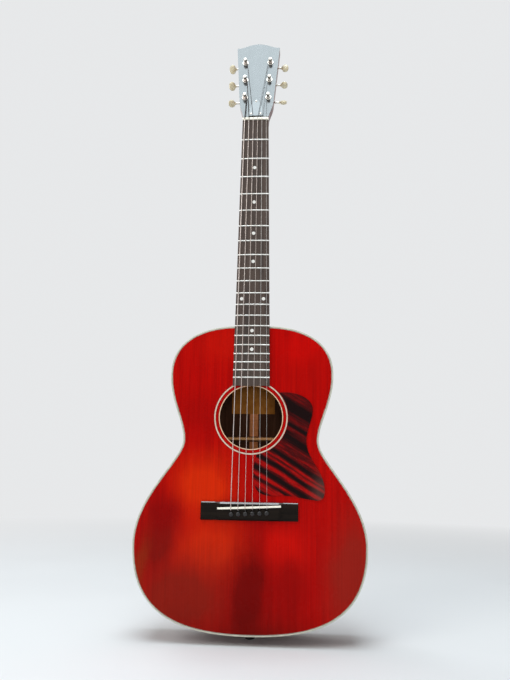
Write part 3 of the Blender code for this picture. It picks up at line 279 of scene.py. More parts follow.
@dataclass(frozen=True)
class StainedSpruce(Finish):
    """Cherry stain and gloss lacquer on spruce, with painted shade and painted reflections."""

    deep: Colour
    middle: Colour
    light: Colour
    painted_light_patches: tuple[PaintedLightPatch, ...]
    waver: float = 0.055

    def paint(self, graph: Graph) -> None:
        """Streaks and fine lines up the grain, then ovals of painted shade and painted reflection.

        Args:
            graph: the material to fill.
        """
        streak = graph.noise(graph.mapped(Grain.UP.value), 130.0, 5.0, 0.62)
        line = graph.noise(graph.mapped((1.0, 1.0, 0.012)), 640.0, 2.0, 0.5)
        colour = graph.ramp(streak, ((0.28, self.deep), (0.52, self.middle), (0.80, self.light)))
        wide = graph.mapped((1.0, 1.0, 0.45))
        waver = graph.node("ShaderNodeTexNoise", {"Vector": wide, "Scale": 16.0, "Detail": 4.0,
                                                  "Roughness": 0.6}).outputs["Color"]
        centred = graph.node("ShaderNodeVectorMath", {0: waver, 1: (0.5, 0.5, 0.5)},
                             operation="SUBTRACT").outputs["Vector"]
        shift = {0: centred, 1: (self.waver,) * 3, 2: graph.place}
        loose = graph.node("ShaderNodeVectorMath", shift,
                           operation="MULTIPLY_ADD").outputs["Vector"]
        # Painted light: darker ovals are painted shade, paler ones painted reflections.
        for patch in self.painted_light_patches:
            colour = graph.mix(graph.oval(loose, patch, 0.55), colour, patch.colour)
        colour = graph.mix(graph.spread(line, 0.35, 0.65, 0.16, 0.0), colour, (0.03, 0.0, 0.0))
        cloud = graph.noise(graph.place, 22.0, 4.0, 0.6)
        graph.shade({"Base Color": colour, "Roughness": graph.spread(cloud, 0.3, 0.7, 0.20, 0.34),
                     "Specular IOR Level": 0.05})
        graph.bump(line, 0.18, 0.0002)


@dataclass(frozen=True)
class StainedMahogany(Finish):
    """Stained, open-grained wood with dark pores under a gloss."""

    dark: Colour
    pale: Colour
    grain: Grain
    shine: float = 0.25

    def paint(self, graph: Graph) -> None:
        """Broad figure, short dark pores and a glossy coat.

        Args:
            graph: the material to fill.
        """
        stretched = graph.mapped(self.grain.value)
        figure = graph.noise(stretched, 75.0, 5.0, 0.62, 0.4)
        pores = graph.noise(stretched, 900.0, 2.0, 0.5)
        colour = graph.ramp(figure, ((0.30, self.dark), (0.72, self.pale)))
        colour = graph.mix(graph.spread(pores, 0.56, 0.66, 0.0, 0.7), colour, (0.020, 0.003, 0.002))
        cloud = graph.noise(graph.place, 30.0, 3.0)
        graph.shade({"Base Color": colour, "Roughness": graph.spread(cloud, 0.3, 0.7, 0.18, 0.32),
                     "Specular IOR Level": self.shine})
        graph.bump(pores, 0.15, 0.0002)


@dataclass(frozen=True)
class BareWood(Finish):
    """Unfinished wood inside the body, or an oiled board, with grain and pores."""

    dark: Colour
    pale: Colour
    grain: Grain
    scale: float
    roughness: float
    shine: float = 0.30

    def paint(self, graph: Graph) -> None:
        """Streaks up the grain with pores cut into them.

        Args:
            graph: the material to fill.
        """
        stretched = graph.mapped(self.grain.value)
        streak = graph.noise(stretched, self.scale, 6.0, 0.65, 0.3)
        pores = graph.noise(stretched, self.scale * 6.0, 2.0, 0.5)
        colour = graph.ramp(streak, ((0.28, self.dark), (0.75, self.pale)))
        colour = graph.mix(graph.spread(pores, 0.55, 0.68, 0.0, 0.55), colour, self.dark)
        rough = graph.spread(pores, 0.3, 0.7, self.roughness, min(1.0, self.roughness + 0.15))
        graph.shade({"Base Color": colour, "Roughness": rough, "Specular IOR Level": self.shine})
        graph.bump(pores, 0.30, 0.0002)


@dataclass(frozen=True)
class Plastic(Finish):
    """Cast plastic, bone or shell: faint clouds and fine scuffs."""

    dark: Colour
    pale: Colour
    scale: float
    roughness: float
    soft: float = 0.0
    shine: float = 0.5

    def paint(self, graph: Graph) -> None:
        """Clouds in the colour, scuffs in the gloss.

        Args:
            graph: the material to fill.
        """
        cloud = graph.noise(graph.place, self.scale, 4.0, 0.55, 0.6)
        scuff = graph.noise(graph.mapped((1.0, 1.0, 0.25)), 1400.0, 3.0)
        colour = graph.ramp(cloud, ((0.30, self.dark), (0.70, self.pale)))
        rough = graph.spread(scuff, 0.35, 0.7, self.roughness, self.roughness + 0.15)
        graph.shade({"Base Color": colour, "Roughness": rough, "Subsurface Weight": self.soft,
                     "Subsurface Radius": (0.004, 0.003, 0.002), "Subsurface Scale": 0.5,
                     "Specular IOR Level": self.shine})
        graph.bump(scuff, 0.08, 0.0001)


@dataclass(frozen=True)
class Tortoise(Finish):
    """Streaked red and black sheet with a polished face and a painted reflection near its tip.

    The streaks run straight down to the right. Each has its place across the sheet, its half
    width and how black it is, from the lower left to the upper right.
    """

    black: Colour
    wine: Colour
    red: Colour
    lean: float
    painted_reflection: PaintedLightPatch
    first: float
    last: float
    streaks: tuple[tuple[float, float, float], ...]

    def paint(self, graph: Graph) -> None:
        """Black streaks through clear red, the red deeper towards the upper corner; a painted
        reflection at the tip.

        Args:
            graph: the material to fill.
        """
        leant = graph.mapped((1.0, 1.0, 1.0), lean=self.lean)
        lengthwise = graph.mapped((0.10, 1.0, 1.0), leant)
        across = graph.node("ShaderNodeSeparateXYZ", {"Vector": leant}).outputs["Z"]
        waver = graph.noise(graph.place, 15.0, 2.0)
        across = graph.sums("ADD", across, graph.spread(waver, 0.3, 0.7, -0.0011, 0.0011))
        place = graph.spread(across, self.first, self.last)
        stops = []
        for middle, half, depth in self.streaks:
            for shift, tone in ((-half, 1.0), (0.0, 1.0 - depth), (half, 1.0)):
                share = (middle + shift - self.first) / (self.last - self.first)
                stops.append((share, (tone, tone, tone)))
        streak = graph.ramp(place, stops)
        fleck = graph.noise(lengthwise, 300.0, 3.0, 0.6)
        deeper = graph.spread(across, self.first + 0.058, self.first + 0.098, 1.0, 0.62)
        value = graph.sums("MULTIPLY", streak, deeper)
        value = graph.sums("MULTIPLY", value, graph.spread(fleck, 0.32, 0.60, 0.55, 1.0))
        colour = graph.ramp(value, ((0.0, self.black), (0.26, self.black), (0.56, self.wine),
                                    (0.95, self.red)))
        # Painted reflection: a greyish pale oval mixed in near the guard's lower tip.
        colour = graph.mix(graph.oval(graph.place, self.painted_reflection, 0.5), colour, self.painted_reflection.colour)
        cloud = graph.noise(graph.place, 60.0, 3.0)
        graph.shade({"Base Color": colour, "Roughness": graph.spread(cloud, 0.3, 0.7, 0.10, 0.20),
                     "Specular IOR Level": 0.08})
        graph.bump(cloud, 0.05, 0.0004)


@dataclass(frozen=True)
class Lacquer(Finish):
    """Polished dark lacquer with faint sinking over the grain."""

    dark: Colour
    pale: Colour
    gloss: float
    bending: float
    shine: float = 0.86

    def paint(self, graph: Graph) -> None:
        """Very dark clouds, streaked a little in their gloss.

        Args:
            graph: the material to fill.
        """
        grain = graph.noise(graph.mapped(Grain.UP.value), 160.0, 4.0, 0.6)
        cloud = graph.noise(graph.mapped((1.0, 1.0, 0.14)), 70.0, 3.0, 0.6)
        colour = graph.ramp(cloud, ((0.3, self.dark), (0.7, self.pale)))
        graph.shade({"Base Color": colour, "Specular IOR Level": self.shine, "IOR": self.bending,
                     "Specular Tint": (0.93, 0.99, 1.0),
                     "Roughness": graph.spread(cloud, 0.3, 0.7, self.gloss, self.gloss + 0.08)})
        graph.bump(grain, 0.03, 0.0001)


@dataclass(frozen=True)
class Metal(Finish):
    """Polished or brushed metal with some tarnish in its clouds."""

    bright: Colour
    tarnish: Colour
    roughness: float
    brushed: Point = (1.0, 1.0, 1.0)

    def paint(self, graph: Graph) -> None:
        """Tarnish clouds and fine brushing.

        Args:
            graph: the material to fill.
        """
        cloud = graph.noise(graph.place, 180.0, 4.0, 0.6)
        brush = graph.noise(graph.mapped(self.brushed), 2600.0, 2.0)
        colour = graph.ramp(cloud, ((0.40, self.bright), (0.75, self.tarnish)))
        rough = graph.spread(cloud, 0.35, 0.75, self.roughness, self.roughness + 0.18)
        graph.shade({"Base Color": colour, "Metallic": 1.0, "Roughness": rough})
        graph.bump(brush, 0.06, 0.00005)


@dataclass(frozen=True)
class Winding(Finish):
    """Metal wire with a fine wrap: ribs across the string."""

    bright: Colour
    groove_shade_and_mottle: Colour
    pitch: float

    def paint(self, graph: Graph) -> None:
        """Ribs along the string, with painted shade between them.

        Args:
            graph: the material to fill.
        """
        ribs = graph.ribs(1.0 / self.pitch / 3.2)
        cloud = graph.noise(graph.mapped((1.0, 1.0, 0.08)), 160.0, 3.0)
        # Painted shade in the grooves between the wraps; random clouds darken towards the same
        # colour.
        colour = graph.mix(graph.spread(ribs, 0.0, 0.5, 0.6, 0.0), self.bright, self.groove_shade_and_mottle)
        colour = graph.mix(graph.spread(cloud, 0.45, 0.75, 0.0, 0.35), colour, self.groove_shade_and_mottle)
        graph.shade({"Base Color": colour, "Metallic": 1.0,
                     "Roughness": graph.spread(cloud, 0.3, 0.7, 0.24, 0.38)})
        graph.bump(ribs, 0.5, 0.00008)


@dataclass(frozen=True)
class Paper(Finish):
    """Aged label stock with brown clouds."""

    pale: Colour
    brown: Colour

    def paint(self, graph: Graph) -> None:
        """Fibre noise and brown clouds.

        Args:
            graph: the material to fill.
        """
        cloud = graph.noise(graph.place, 55.0, 5.0, 0.65)
        fibre = graph.noise(graph.place, 1900.0, 2.0)
        colour = graph.ramp(cloud, ((0.35, self.brown), (0.62, self.pale)))
        colour = graph.mix(graph.spread(fibre, 0.4, 0.7, 0.0, 0.18), colour, self.brown)
        graph.shade({"Base Color": colour, "Roughness": 0.85, "Specular IOR Level": 0.2})
        graph.bump(fibre, 0.2, 0.0001)


@dataclass(frozen=True)
class PaleFloor(Finish):
    """Plain pale ground that turns into the surroundings' own tone far away."""

    near: Colour
    far: Colour
    start: float
    end: float

    def paint(self, graph: Graph) -> None:
        """Matt ground near by, the surroundings' tone beyond.

        Args:
            graph: the material to fill.
        """
        cloud = graph.noise(graph.place, 1.5, 3.0)
        darker = tuple(0.97 * part for part in self.near)
        tone = graph.ramp(cloud, ((0.35, darker), (0.65, self.near)))
        graph.shade({"Base Color": tone, "Roughness": 0.9, "Specular IOR Level": 0.1})
        flat = graph.mapped((1.0, 1.0, 0.0))
        length = graph.node("ShaderNodeVectorMath", {0: flat}, operation="LENGTH").outputs["Value"]
        glow = graph.node("ShaderNodeEmission", {"Color": self.far})
        blend = graph.node("ShaderNodeMixShader", {0: graph.spread(length, self.start, self.end),
                                                   1: graph.shader.outputs[0], 2: glow.outputs[0]})
        graph.put(graph.tree.nodes["Material Output"].inputs["Surface"], blend.outputs[0])


# Painted light on the top: darker ovals are painted shade, darkest along the lower edge; paler ones
# are painted reflections.
TOP_PAINTED_LIGHT_AND_SHADE = (
    PaintedLightPatch((-0.070, -0.600), (0.085, 0.085), 18.0, (0.62, 0.022, 0.0012), 0.95),
    PaintedLightPatch((-0.058, -0.690), (0.095, 0.080), 0.0, (0.58, 0.020, 0.0020), 0.90),
    PaintedLightPatch((0.052, -0.688), (0.055, 0.060), 0.0, (0.62, 0.004, 0.001), 0.85),
    PaintedLightPatch((-0.100, -0.762), (0.150, 0.105), -12.0, (0.225, 0.0112, 0.0052), 0.90),
    PaintedLightPatch((0.150, -0.715), (0.060, 0.165), 6.0, (0.280, 0.0125, 0.0070), 0.95),
    PaintedLightPatch((-0.142, -0.680), (0.062, 0.095), 0.0, (0.180, 0.0055, 0.0030), 0.85),
    PaintedLightPatch((-0.166, -0.712), (0.016, 0.075), 4.0, (0.240, 0.020, 0.0045), 0.70),
    PaintedLightPatch((0.004, -0.758), (0.062, 0.160), 6.0, (0.125, 0.0008, 0.0005), 0.85),
    PaintedLightPatch((0.064, -0.745), (0.050, 0.100), 0.0, (0.260, 0.0010, 0.0006), 0.75),
    PaintedLightPatch((0.000, -0.852), (0.330, 0.105), 0.0, (0.095, 0.0030, 0.0016), 0.85),
    PaintedLightPatch((-0.140, -0.640), (0.050, 0.055), 0.0, (0.230, 0.0010, 0.0010), 0.80),
    PaintedLightPatch((-0.072, -0.490), (0.062, 0.060), 0.0, (0.300, 0.0010, 0.0006), 0.60),
    PaintedLightPatch((-0.040, -0.375), (0.080, 0.060), 0.0, (0.520, 0.006, 0.0015), 0.60),
    PaintedLightPatch((0.080, -0.378), (0.062, 0.055), 0.0, (0.560, 0.002, 0.0010), 0.60),
)

SPRUCE = StainedSpruce("cherry lacquer on spruce", (0.30, 0.0010, 0.0006), (0.42, 0.0016, 0.0008),
                       (0.50, 0.0040, 0.0012), TOP_PAINTED_LIGHT_AND_SHADE)
MAHOGANY_BACK = StainedMahogany("cherry mahogany back", (0.080, 0.004, 0.003), (0.22, 0.012, 0.006),
                                Grain.UP)
MAHOGANY_SIDE = StainedMahogany("cherry mahogany side", (0.078, 0.004, 0.003), (0.21, 0.011, 0.006),
                                Grain.ROUND)
MAHOGANY_NECK = StainedMahogany("cherry mahogany neck", (0.070, 0.004, 0.003), (0.18, 0.010, 0.006),
                                Grain.UP)
RAW_SPRUCE_UP = BareWood("bare spruce up", (0.34, 0.21, 0.11), (0.60, 0.44, 0.26), Grain.UP,
                         260.0, 0.75)
# Grain across is real; the colour, much paler and redder than bare spruce up, is painted light on
# the braces inside.
LIT_SPRUCE_ACROSS = BareWood("bare spruce across", (0.66, 0.31, 0.115), (0.94, 0.56, 0.26),
                             Grain.ACROSS, 260.0, 0.75)
STRIP_SPRUCE = BareWood("bare spruce strip", (0.47, 0.160, 0.055), (0.72, 0.285, 0.115),
                        Grain.ACROSS, 260.0, 0.75)
RAW_MAHOGANY = BareWood("bare mahogany", (0.032, 0.012, 0.006), (0.085, 0.036, 0.020), Grain.UP,
                        90.0, 0.75, 0.15)
ROSEWOOD = BareWood("rosewood board", (0.024, 0.016, 0.013), (0.095, 0.064, 0.050), Grain.UP,
                    150.0, 0.42, 0.35)
BRIDGE_WOOD = BareWood("dark bridge wood", (0.003, 0.0022, 0.0018), (0.018, 0.0125, 0.0090),
                       Grain.ACROSS, 150.0, 0.32, 0.07)
# Top chamfer of the bridge: real gloss that mirrors the lamps, and a paler grey colour that is a
# painted highlight.
BRIDGE_CHAMFER_HIGHLIGHT = BareWood("bridge chamfer with painted highlight", (0.040, 0.034, 0.034), (0.080, 0.068, 0.068),
                       Grain.ACROSS, 150.0, 0.10, 1.0)
IVOROID = Plastic("aged ivoroid", (0.42, 0.415, 0.34), (0.56, 0.56, 0.475), 90.0, 0.40, 0.0, 0.20)
ROSETTE_IVORY = Plastic("rosette ivory", (0.56, 0.40, 0.31), (0.68, 0.55, 0.45), 80.0, 0.35)
CREAM_RING = Plastic("cream ring", (0.66, 0.40, 0.25), (0.80, 0.56, 0.38), 80.0, 0.35)
BLACK_LINE = Plastic("black line", (0.010, 0.008, 0.008), (0.022, 0.018, 0.016), 90.0, 0.35,
                     0.0, 0.10)
STAINED_SEAM = Plastic("stained seam", (0.10, 0.0020, 0.0012), (0.17, 0.0040, 0.0020), 90.0, 0.35,
                       0.0, 0.05)
BONE = Plastic("polished bone", (0.82, 0.79, 0.67), (0.93, 0.91, 0.80), 120.0, 0.35)
PEARL = Plastic("pearl", (0.62, 0.62, 0.58), (0.90, 0.90, 0.88), 700.0, 0.18)
EBONY_PLASTIC = Plastic("black pin", (0.006, 0.005, 0.006), (0.016, 0.013, 0.013), 200.0, 0.10,
                        0.0, 0.40)
CREAM_BUTTON = Plastic("cream button", (0.50, 0.43, 0.27), (0.74, 0.68, 0.50), 160.0, 0.22, 0.15)
TORTOISE = Tortoise(
    "streaked pickguard", (0.0070, 0.0010, 0.0012), (0.070, 0.0012, 0.0016),
    (0.330, 0.0020, 0.0014), -31.0,
    # painted reflection near the guard's lower tip
    PaintedLightPatch((0.112, -0.602), (0.032, 0.045), 0.0, (0.130, 0.055, 0.048), 0.42), -0.5187, -0.3606,
    ((-0.5103, 0.0044, 0.85), (-0.4936, 0.0038, 0.70), (-0.4805, 0.0072, 1.00),
     (-0.4645, 0.0052, 1.00), (-0.4556, 0.0024, 0.40), (-0.4465, 0.0054, 1.00),
     (-0.4175, 0.0110, 0.75), (-0.3990, 0.0040, 0.70), (-0.3750, 0.0115, 1.00)))
HEAD_LACQUER = Lacquer("black head lacquer", (0.004, 0.005, 0.007), (0.046, 0.050, 0.056), 0.12,
                       1.58)
# Painted highlight: near-white colour on the rounded edge of the black head face.
HEAD_EDGE_HIGHLIGHT = Plastic("painted highlight on lacquer edge", (0.84, 0.88, 0.92), (0.94, 0.96, 0.98), 220.0, 0.30)
COVER_LACQUER = Lacquer("black cover", (0.008, 0.009, 0.012), (0.014, 0.016, 0.020), 0.14, 1.70)
NICKEL = Metal("nickel plate", (0.70, 0.68, 0.63), (0.42, 0.37, 0.30), 0.16)
FRET_METAL = Metal("fret wire", (0.66, 0.65, 0.62), (0.46, 0.44, 0.40), 0.30, (0.05, 1.0, 1.0))
STEEL = Metal("plain steel", (0.62, 0.62, 0.64), (0.40, 0.39, 0.38), 0.22, (1.0, 1.0, 0.05))
# Painted shade: near-black copy of the string metal, on the strings past the nut.
HEAD_STRING_SHADE = Metal("string with painted shade", (0.070, 0.060, 0.058), (0.035, 0.030, 0.029), 0.42)
STRING_STEEL = Metal("string steel", (0.92, 0.90, 0.88), (0.70, 0.66, 0.62), 0.28, (1.0, 1.0, 0.05))
LABEL_PAPER = Paper("label paper", (0.42, 0.165, 0.030), (0.29, 0.102, 0.014))
FLOOR = PaleFloor("pale floor", (0.80, 0.81, 0.82), (0.80, 0.81, 0.82), 0.9, 2.6)


class Shape:
    """Points and faces gathered into one mesh, each face with its finish's number."""

    def __init__(self) -> None:
        """Start empty."""
        self.points: list[Point] = []
        self.faces: list[tuple[int, ...]] = []
        self.marks: list[int] = []

    def loft(self, rings: Sequence[Sequence[Point]], closed: bool = False,
             marks: Sequence[int] = (0,)) -> "Shape":
        """Add a closed skin through equal rings.

        Args:
            rings: the rings in order.
            closed: whether the last ring joins the first; the ends are filled where it doesn't.
            marks: finish number of each strip round the ring; a short list is repeated.

        Returns:
            The shape itself.
        """
        start, size = len(self.points), len(rings[0])
        self.points += [tuple(point) for ring in rings for point in ring]
        spans = len(rings) if closed else len(rings) - 1
        for span in range(spans):
            here = start + span * size
            ahead = start + ((span + 1) % len(rings)) * size
            for corner in range(size):
                beside = (corner + 1) % size
                self.faces.append((here + corner, here + beside, ahead + beside, ahead + corner))
                self.marks.append(marks[corner % len(marks)])
        if not closed:
            last = start + (len(rings) - 1) * size
            self.faces.append(tuple(range(start, start + size)))
            self.faces.append(tuple(range(last, last + size)))
            self.marks += [marks[0], marks[0]]
        return self

    def plate(self, loops: Sequence[Sequence[Plan]], front: float, back: float,
              marks: tuple[int, int, int] = (0, 0, 0)) -> "Shape":
        """Add a flat plate in the plan, its first loop the edge and the others holes.

        Args:
            loops: closed plan curves of (x, z).
            front: depth of the front face.
            back: depth of the back face.
            marks: finish numbers of front, back and walls.

        Returns:
            The shape itself.
        """
        triangles = tessellate_polygon([[Vector((x, z, 0.0)) for x, z in loop] for loop in loops])
        plan = [point for loop in loops for point in loop]
        start, count = len(self.points), len(plan)
        self.points += [(x, front, z) for x, z in plan] + [(x, back, z) for x, z in plan]
        for triangle in triangles:
            self.faces.append(tuple(start + index for index in triangle))
            self.faces.append(tuple(start + index + count for index in reversed(triangle)))
            self.marks += [marks[0], marks[1]]
        first = start
        for loop in loops:
            size = len(loop)
            for step in range(size):
                here, beside = first + step, first + (step + 1) % size
                self.faces.append((here, beside, beside + count, here + count))
                self.marks.append(marks[2])
            first += size
        return self

    def moved(self, place: Matrix) -> "Shape":
        """Move every point gathered so far, and return the shape."""
        self.points = [tuple(place @ Vector(point)) for point in self.points]
        return self

    def mesh(self, name: str, finishes: Sequence[Finish], smooth: float) -> bpy.types.Mesh:
        """Build the mesh with its normals outwards.

        Args:
            name: the mesh's name.
            finishes: the finishes by number.
            smooth: edges sharper than this many degrees stay sharp.

        Returns:
            The mesh.
        """
        mesh = bpy.data.meshes.new(name)
        work = bmesh.new()
        corners = [work.verts.new(point) for point in self.points]
        for face, mark in zip(self.faces, self.marks):
            work.faces.new([corners[index] for index in face]).material_index = mark
        bmesh.ops.recalc_face_normals(work, faces=work.faces)
        work.to_mesh(mesh)
        work.free()
        for finish in finishes:
            mesh.materials.append(finish.material())
        mesh.shade_smooth()
        mesh.set_sharp_from_angle(angle=math.radians(smooth))
        return mesh

    def piece(self, name: str, finishes: Sequence[Finish], smooth: float = 35.0,
              bevel: float = 0.0) -> bpy.types.Object:
        """Build an object from the shape.

        Args:
            name: the piece's name.
            finishes: the finishes by number.
            smooth: edges sharper than this many degrees stay sharp.
            bevel: width of the rounding on sharp edges.

        Returns:
            The object, at the origin.
        """
        item = bpy.data.objects.new(name, self.mesh(name, finishes, smooth))
        bpy.context.scene.collection.objects.link(item)
        if bevel:
            soften(item, bevel)
        return item


def soften(item: bpy.types.Object, width: float) -> None:
    """Round an object's sharp edges and even out its shading.

    Args:
        item: the object.
        width: width of the rounding.
    """
    bevel = item.modifiers.new("rounding", "BEVEL")
    bevel.width = width
    bevel.segments = 2
    bevel.limit_method = "ANGLE"
    bevel.angle_limit = SHARP_ANGLE
    normals = item.modifiers.new("even_shading", "WEIGHTED_NORMAL")
    normals.keep_sharp = True


def mount(item: bpy.types.Object, body: str, replaced: Sequence[str] = ()) -> None:
    """Let a piece ride on its body and stand for its CAD nodes.

    Args:
        item: the piece.
        body: the body's name.
        replaced: the nodes it stands for.
    """
    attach(item, body)
    if replaced:
        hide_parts(*replaced)
    log.info("%s rides on %s", item.name, body)


def carry(node: str, finish: Finish, bevel: float = 0.0, edge: Optional[Finish] = None) -> None:
    """Keep a CAD node and give it its finish.

    Args:
        node: the node's name.
        finish: what it is dressed in.
        bevel: width of the rounding on its sharp edges.
        edge: finish of that rounding, where it has its own.
    """
    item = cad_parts[node]
    item.data.materials[0] = finish.material()
    normals = item.data.attributes.get("custom_normal")
    if normals is not None:
        item.data.attributes.remove(normals)
    item.data.shade_smooth()
    weld = item.modifiers.new("weld", "WELD")
    weld.merge_threshold = 0.000002
    if bevel:
        soften(item, bevel)
        if edge:
            item.data.materials.append(edge.material())
            item.modifiers["rounding"].material = 1
    else:
        split = item.modifiers.new("edges", "EDGE_SPLIT")
        split.split_angle = SHARP_ANGLE
    log.info("%s is carried over", node)


class Joining(Enum):
    """What happens to a second shape: it is cut away or grows into the first."""

    CUT = "DIFFERENCE"
    GROW = "UNION"


def carve(target: bpy.types.Object, other: bpy.types.Object,
          joining: Joining = Joining.CUT) -> None:
    """Cut one object out of another or join it on, then drop it.

    Args:
        target: the object to work on.
        other: the shape to take away or to add.
        joining: which of the two.
    """
    modifier = target.modifiers.new("joining", "BOOLEAN")
    modifier.operation = joining.value
    modifier.solver = "EXACT"
    modifier.object = other
    graph = bpy.context.evaluated_depsgraph_get()
    cut = bpy.data.meshes.new_from_object(target.evaluated_get(graph))
    target.modifiers.clear()
    target.data = cut
    bpy.data.objects.remove(other)


def circle(centre: Plan, radius: float, sides: int) -> list[Plan]:
    """Plan points round a circle.

    Args:
        centre: its middle.
        radius: its radius.
        sides: how many points.

    Returns:
        The points.
    """
    turn = 2.0 * math.pi / sides
    return [(centre[0] + radius * math.cos(step * turn), centre[1] + radius * math.sin(step * turn))
            for step in range(sides)]


def turned(profile: Sequence[Plan], sides: int, place: Matrix) -> list[list[Point]]:
    """Rings of a profile of (radius, distance along) turned about the local Z axis."""
    return [[tuple(place @ Vector((x, y, along))) for x, y in circle((0.0, 0.0), radius, sides)]
            for radius, along in profile]


def tube(route: Sequence[Vector], radii: Sequence[float], sides: int) -> list[list[Point]]:
    """Rings of a round tube along a route, mitred where it bends.

    Args:
        route: the points it follows.
        radii: its radius at each point.
        sides: points round each ring.

    Returns:
        The rings.
    """
    rings = []
    side = Vector((1.0, 0.0, 0.0))
    for index, point in enumerate(route):
        before, after = route[max(index - 1, 0)], route[min(index + 1, len(route) - 1)]
        incoming = (point - before).normalized() if index else (after - point).normalized()
        outgoing = (after - point).normalized() if index < len(route) - 1 else incoming
        heading = (incoming + outgoing).normalized()
        side = (side - heading * side.dot(heading)).normalized()
        across = heading.cross(side)
        stretch = 1.0 / max(heading.dot(outgoing), 0.5)
        rings.append([tuple(point + side * first + across * second * stretch)
                      for first, second in circle((0.0, 0.0), radii[index], sides)])
    return rings


def eased(share: float) -> float:
    """Share from 0 to 1 with soft ends, kept inside them."""
    share = min(1.0, max(0.0, share))
    return share * share * (3.0 - 2.0 * share)


def bezier(corners: Sequence[Plan], steps: int) -> list[Plan]:
    """Points of a cubic curve, its end point left out.

    Args:
        corners: start, two handles and end.
        steps: how many points.

    Returns:
        The points.
    """
    points = []
    for step in range(steps):
        t = step / steps
        u = 1.0 - t
        weights = (u ** 3, 3.0 * u * u * t, 3.0 * u * t * t, t ** 3)
        points.append(tuple(sum(weight * corner[axis] for weight, corner in zip(weights, corners))
                            for axis in (0, 1)))
    return points


def numbered(name: str, index: int) -> str:
    """Name with a string's number: 1 is the thinnest, at +X."""
    return "%s_%d" % (name, STRING_COUNT - index)


@dataclass(frozen=True)
class BodyPlan:
    """Outline and depth of the body."""

    joint: Plan = (0.0300, -0.3486)
    upper: Plan = (0.1275, -0.4252)
    waist: Plan = (0.1047, -0.5279)
    lower: Plan = (0.1779, -0.6845)
    tail_z: float = -0.8143
    tail_width: float = 0.0924
    lower_drop: float = 0.1100
    lower_rise: float = 0.0719
    waist_drop: float = 0.0305
    waist_rise: float = 0.0303
    upper_drop: float = 0.0445
    upper_rise: float = 0.0735
    joint_width: float = 0.0104
    steps: tuple[int, int, int, int] = (44, 36, 24, 36)
    depth_middle: float = 0.1040
    depth_taper: float = 0.0259
    arch_radius: float = 4.5
    middle_z: float = -0.582

    def half(self) -> list[Plan]:
        """Treble half of the outline.

        Returns:
            Points from the tail's middle up to the neck joint.
        """
        (low_x, low_z), (waist_x, waist_z), (up_x, up_z) = self.lower, self.waist, self.upper
        points = bezier(((0.0, self.tail_z), (self.tail_width, self.tail_z),
                         (low_x, low_z - self.lower_drop), self.lower), self.steps[0])
        points += bezier((self.lower, (low_x, low_z + self.lower_rise),
                          (waist_x, waist_z - self.waist_drop), self.waist), self.steps[1])
        points += bezier((self.waist, (waist_x, waist_z + self.waist_rise),
                          (up_x, up_z - self.upper_drop), self.upper), self.steps[2])
        shoulder = (self.joint[0] + self.joint_width, self.joint[1])
        points += bezier((self.upper, (up_x, up_z + self.upper_rise), shoulder, self.joint),
                         self.steps[3])
        return points + [self.joint]

    def inset(self, distance: float) -> list[Plan]:
        """Treble half moved inwards along its normals.

        Args:
            distance: how far.

        Returns:
            The moved points.
        """
        points = self.half()
        moved = [(0.0, points[0][1] + distance)]
        for before, (x, z), after in zip(points, points[1:], points[2:]):
            run_x, run_z = after[0] - before[0], after[1] - before[1]
            length = math.hypot(run_x, run_z)
            moved.append((x - run_z / length * distance, z + run_x / length * distance))
        moved.append((points[-1][0], points[-1][1] - distance))
        return moved

    def whole(self, distance: float) -> list[Plan]:
        """Closed outline, inset by a distance, once round."""
        treble = self.inset(distance)
        return treble + [(-x, z) for x, z in reversed(treble[1:])]

    def depth(self, x: float, z: float) -> float:
        """Depth of the arched back's outer face behind the soundboard plane.

        Args:
            x: plan point across.
            z: plan point along.

        Returns:
            The depth.
        """
        along = z - self.middle_z
        arch = (x * x + along * along) / (2.0 * self.arch_radius)
        return self.depth_middle - self.depth_taper * along - arch


PLAN = BodyPlan()
HOLE_Z = -0.4921
ROSETTE_OUTER = 0.0576


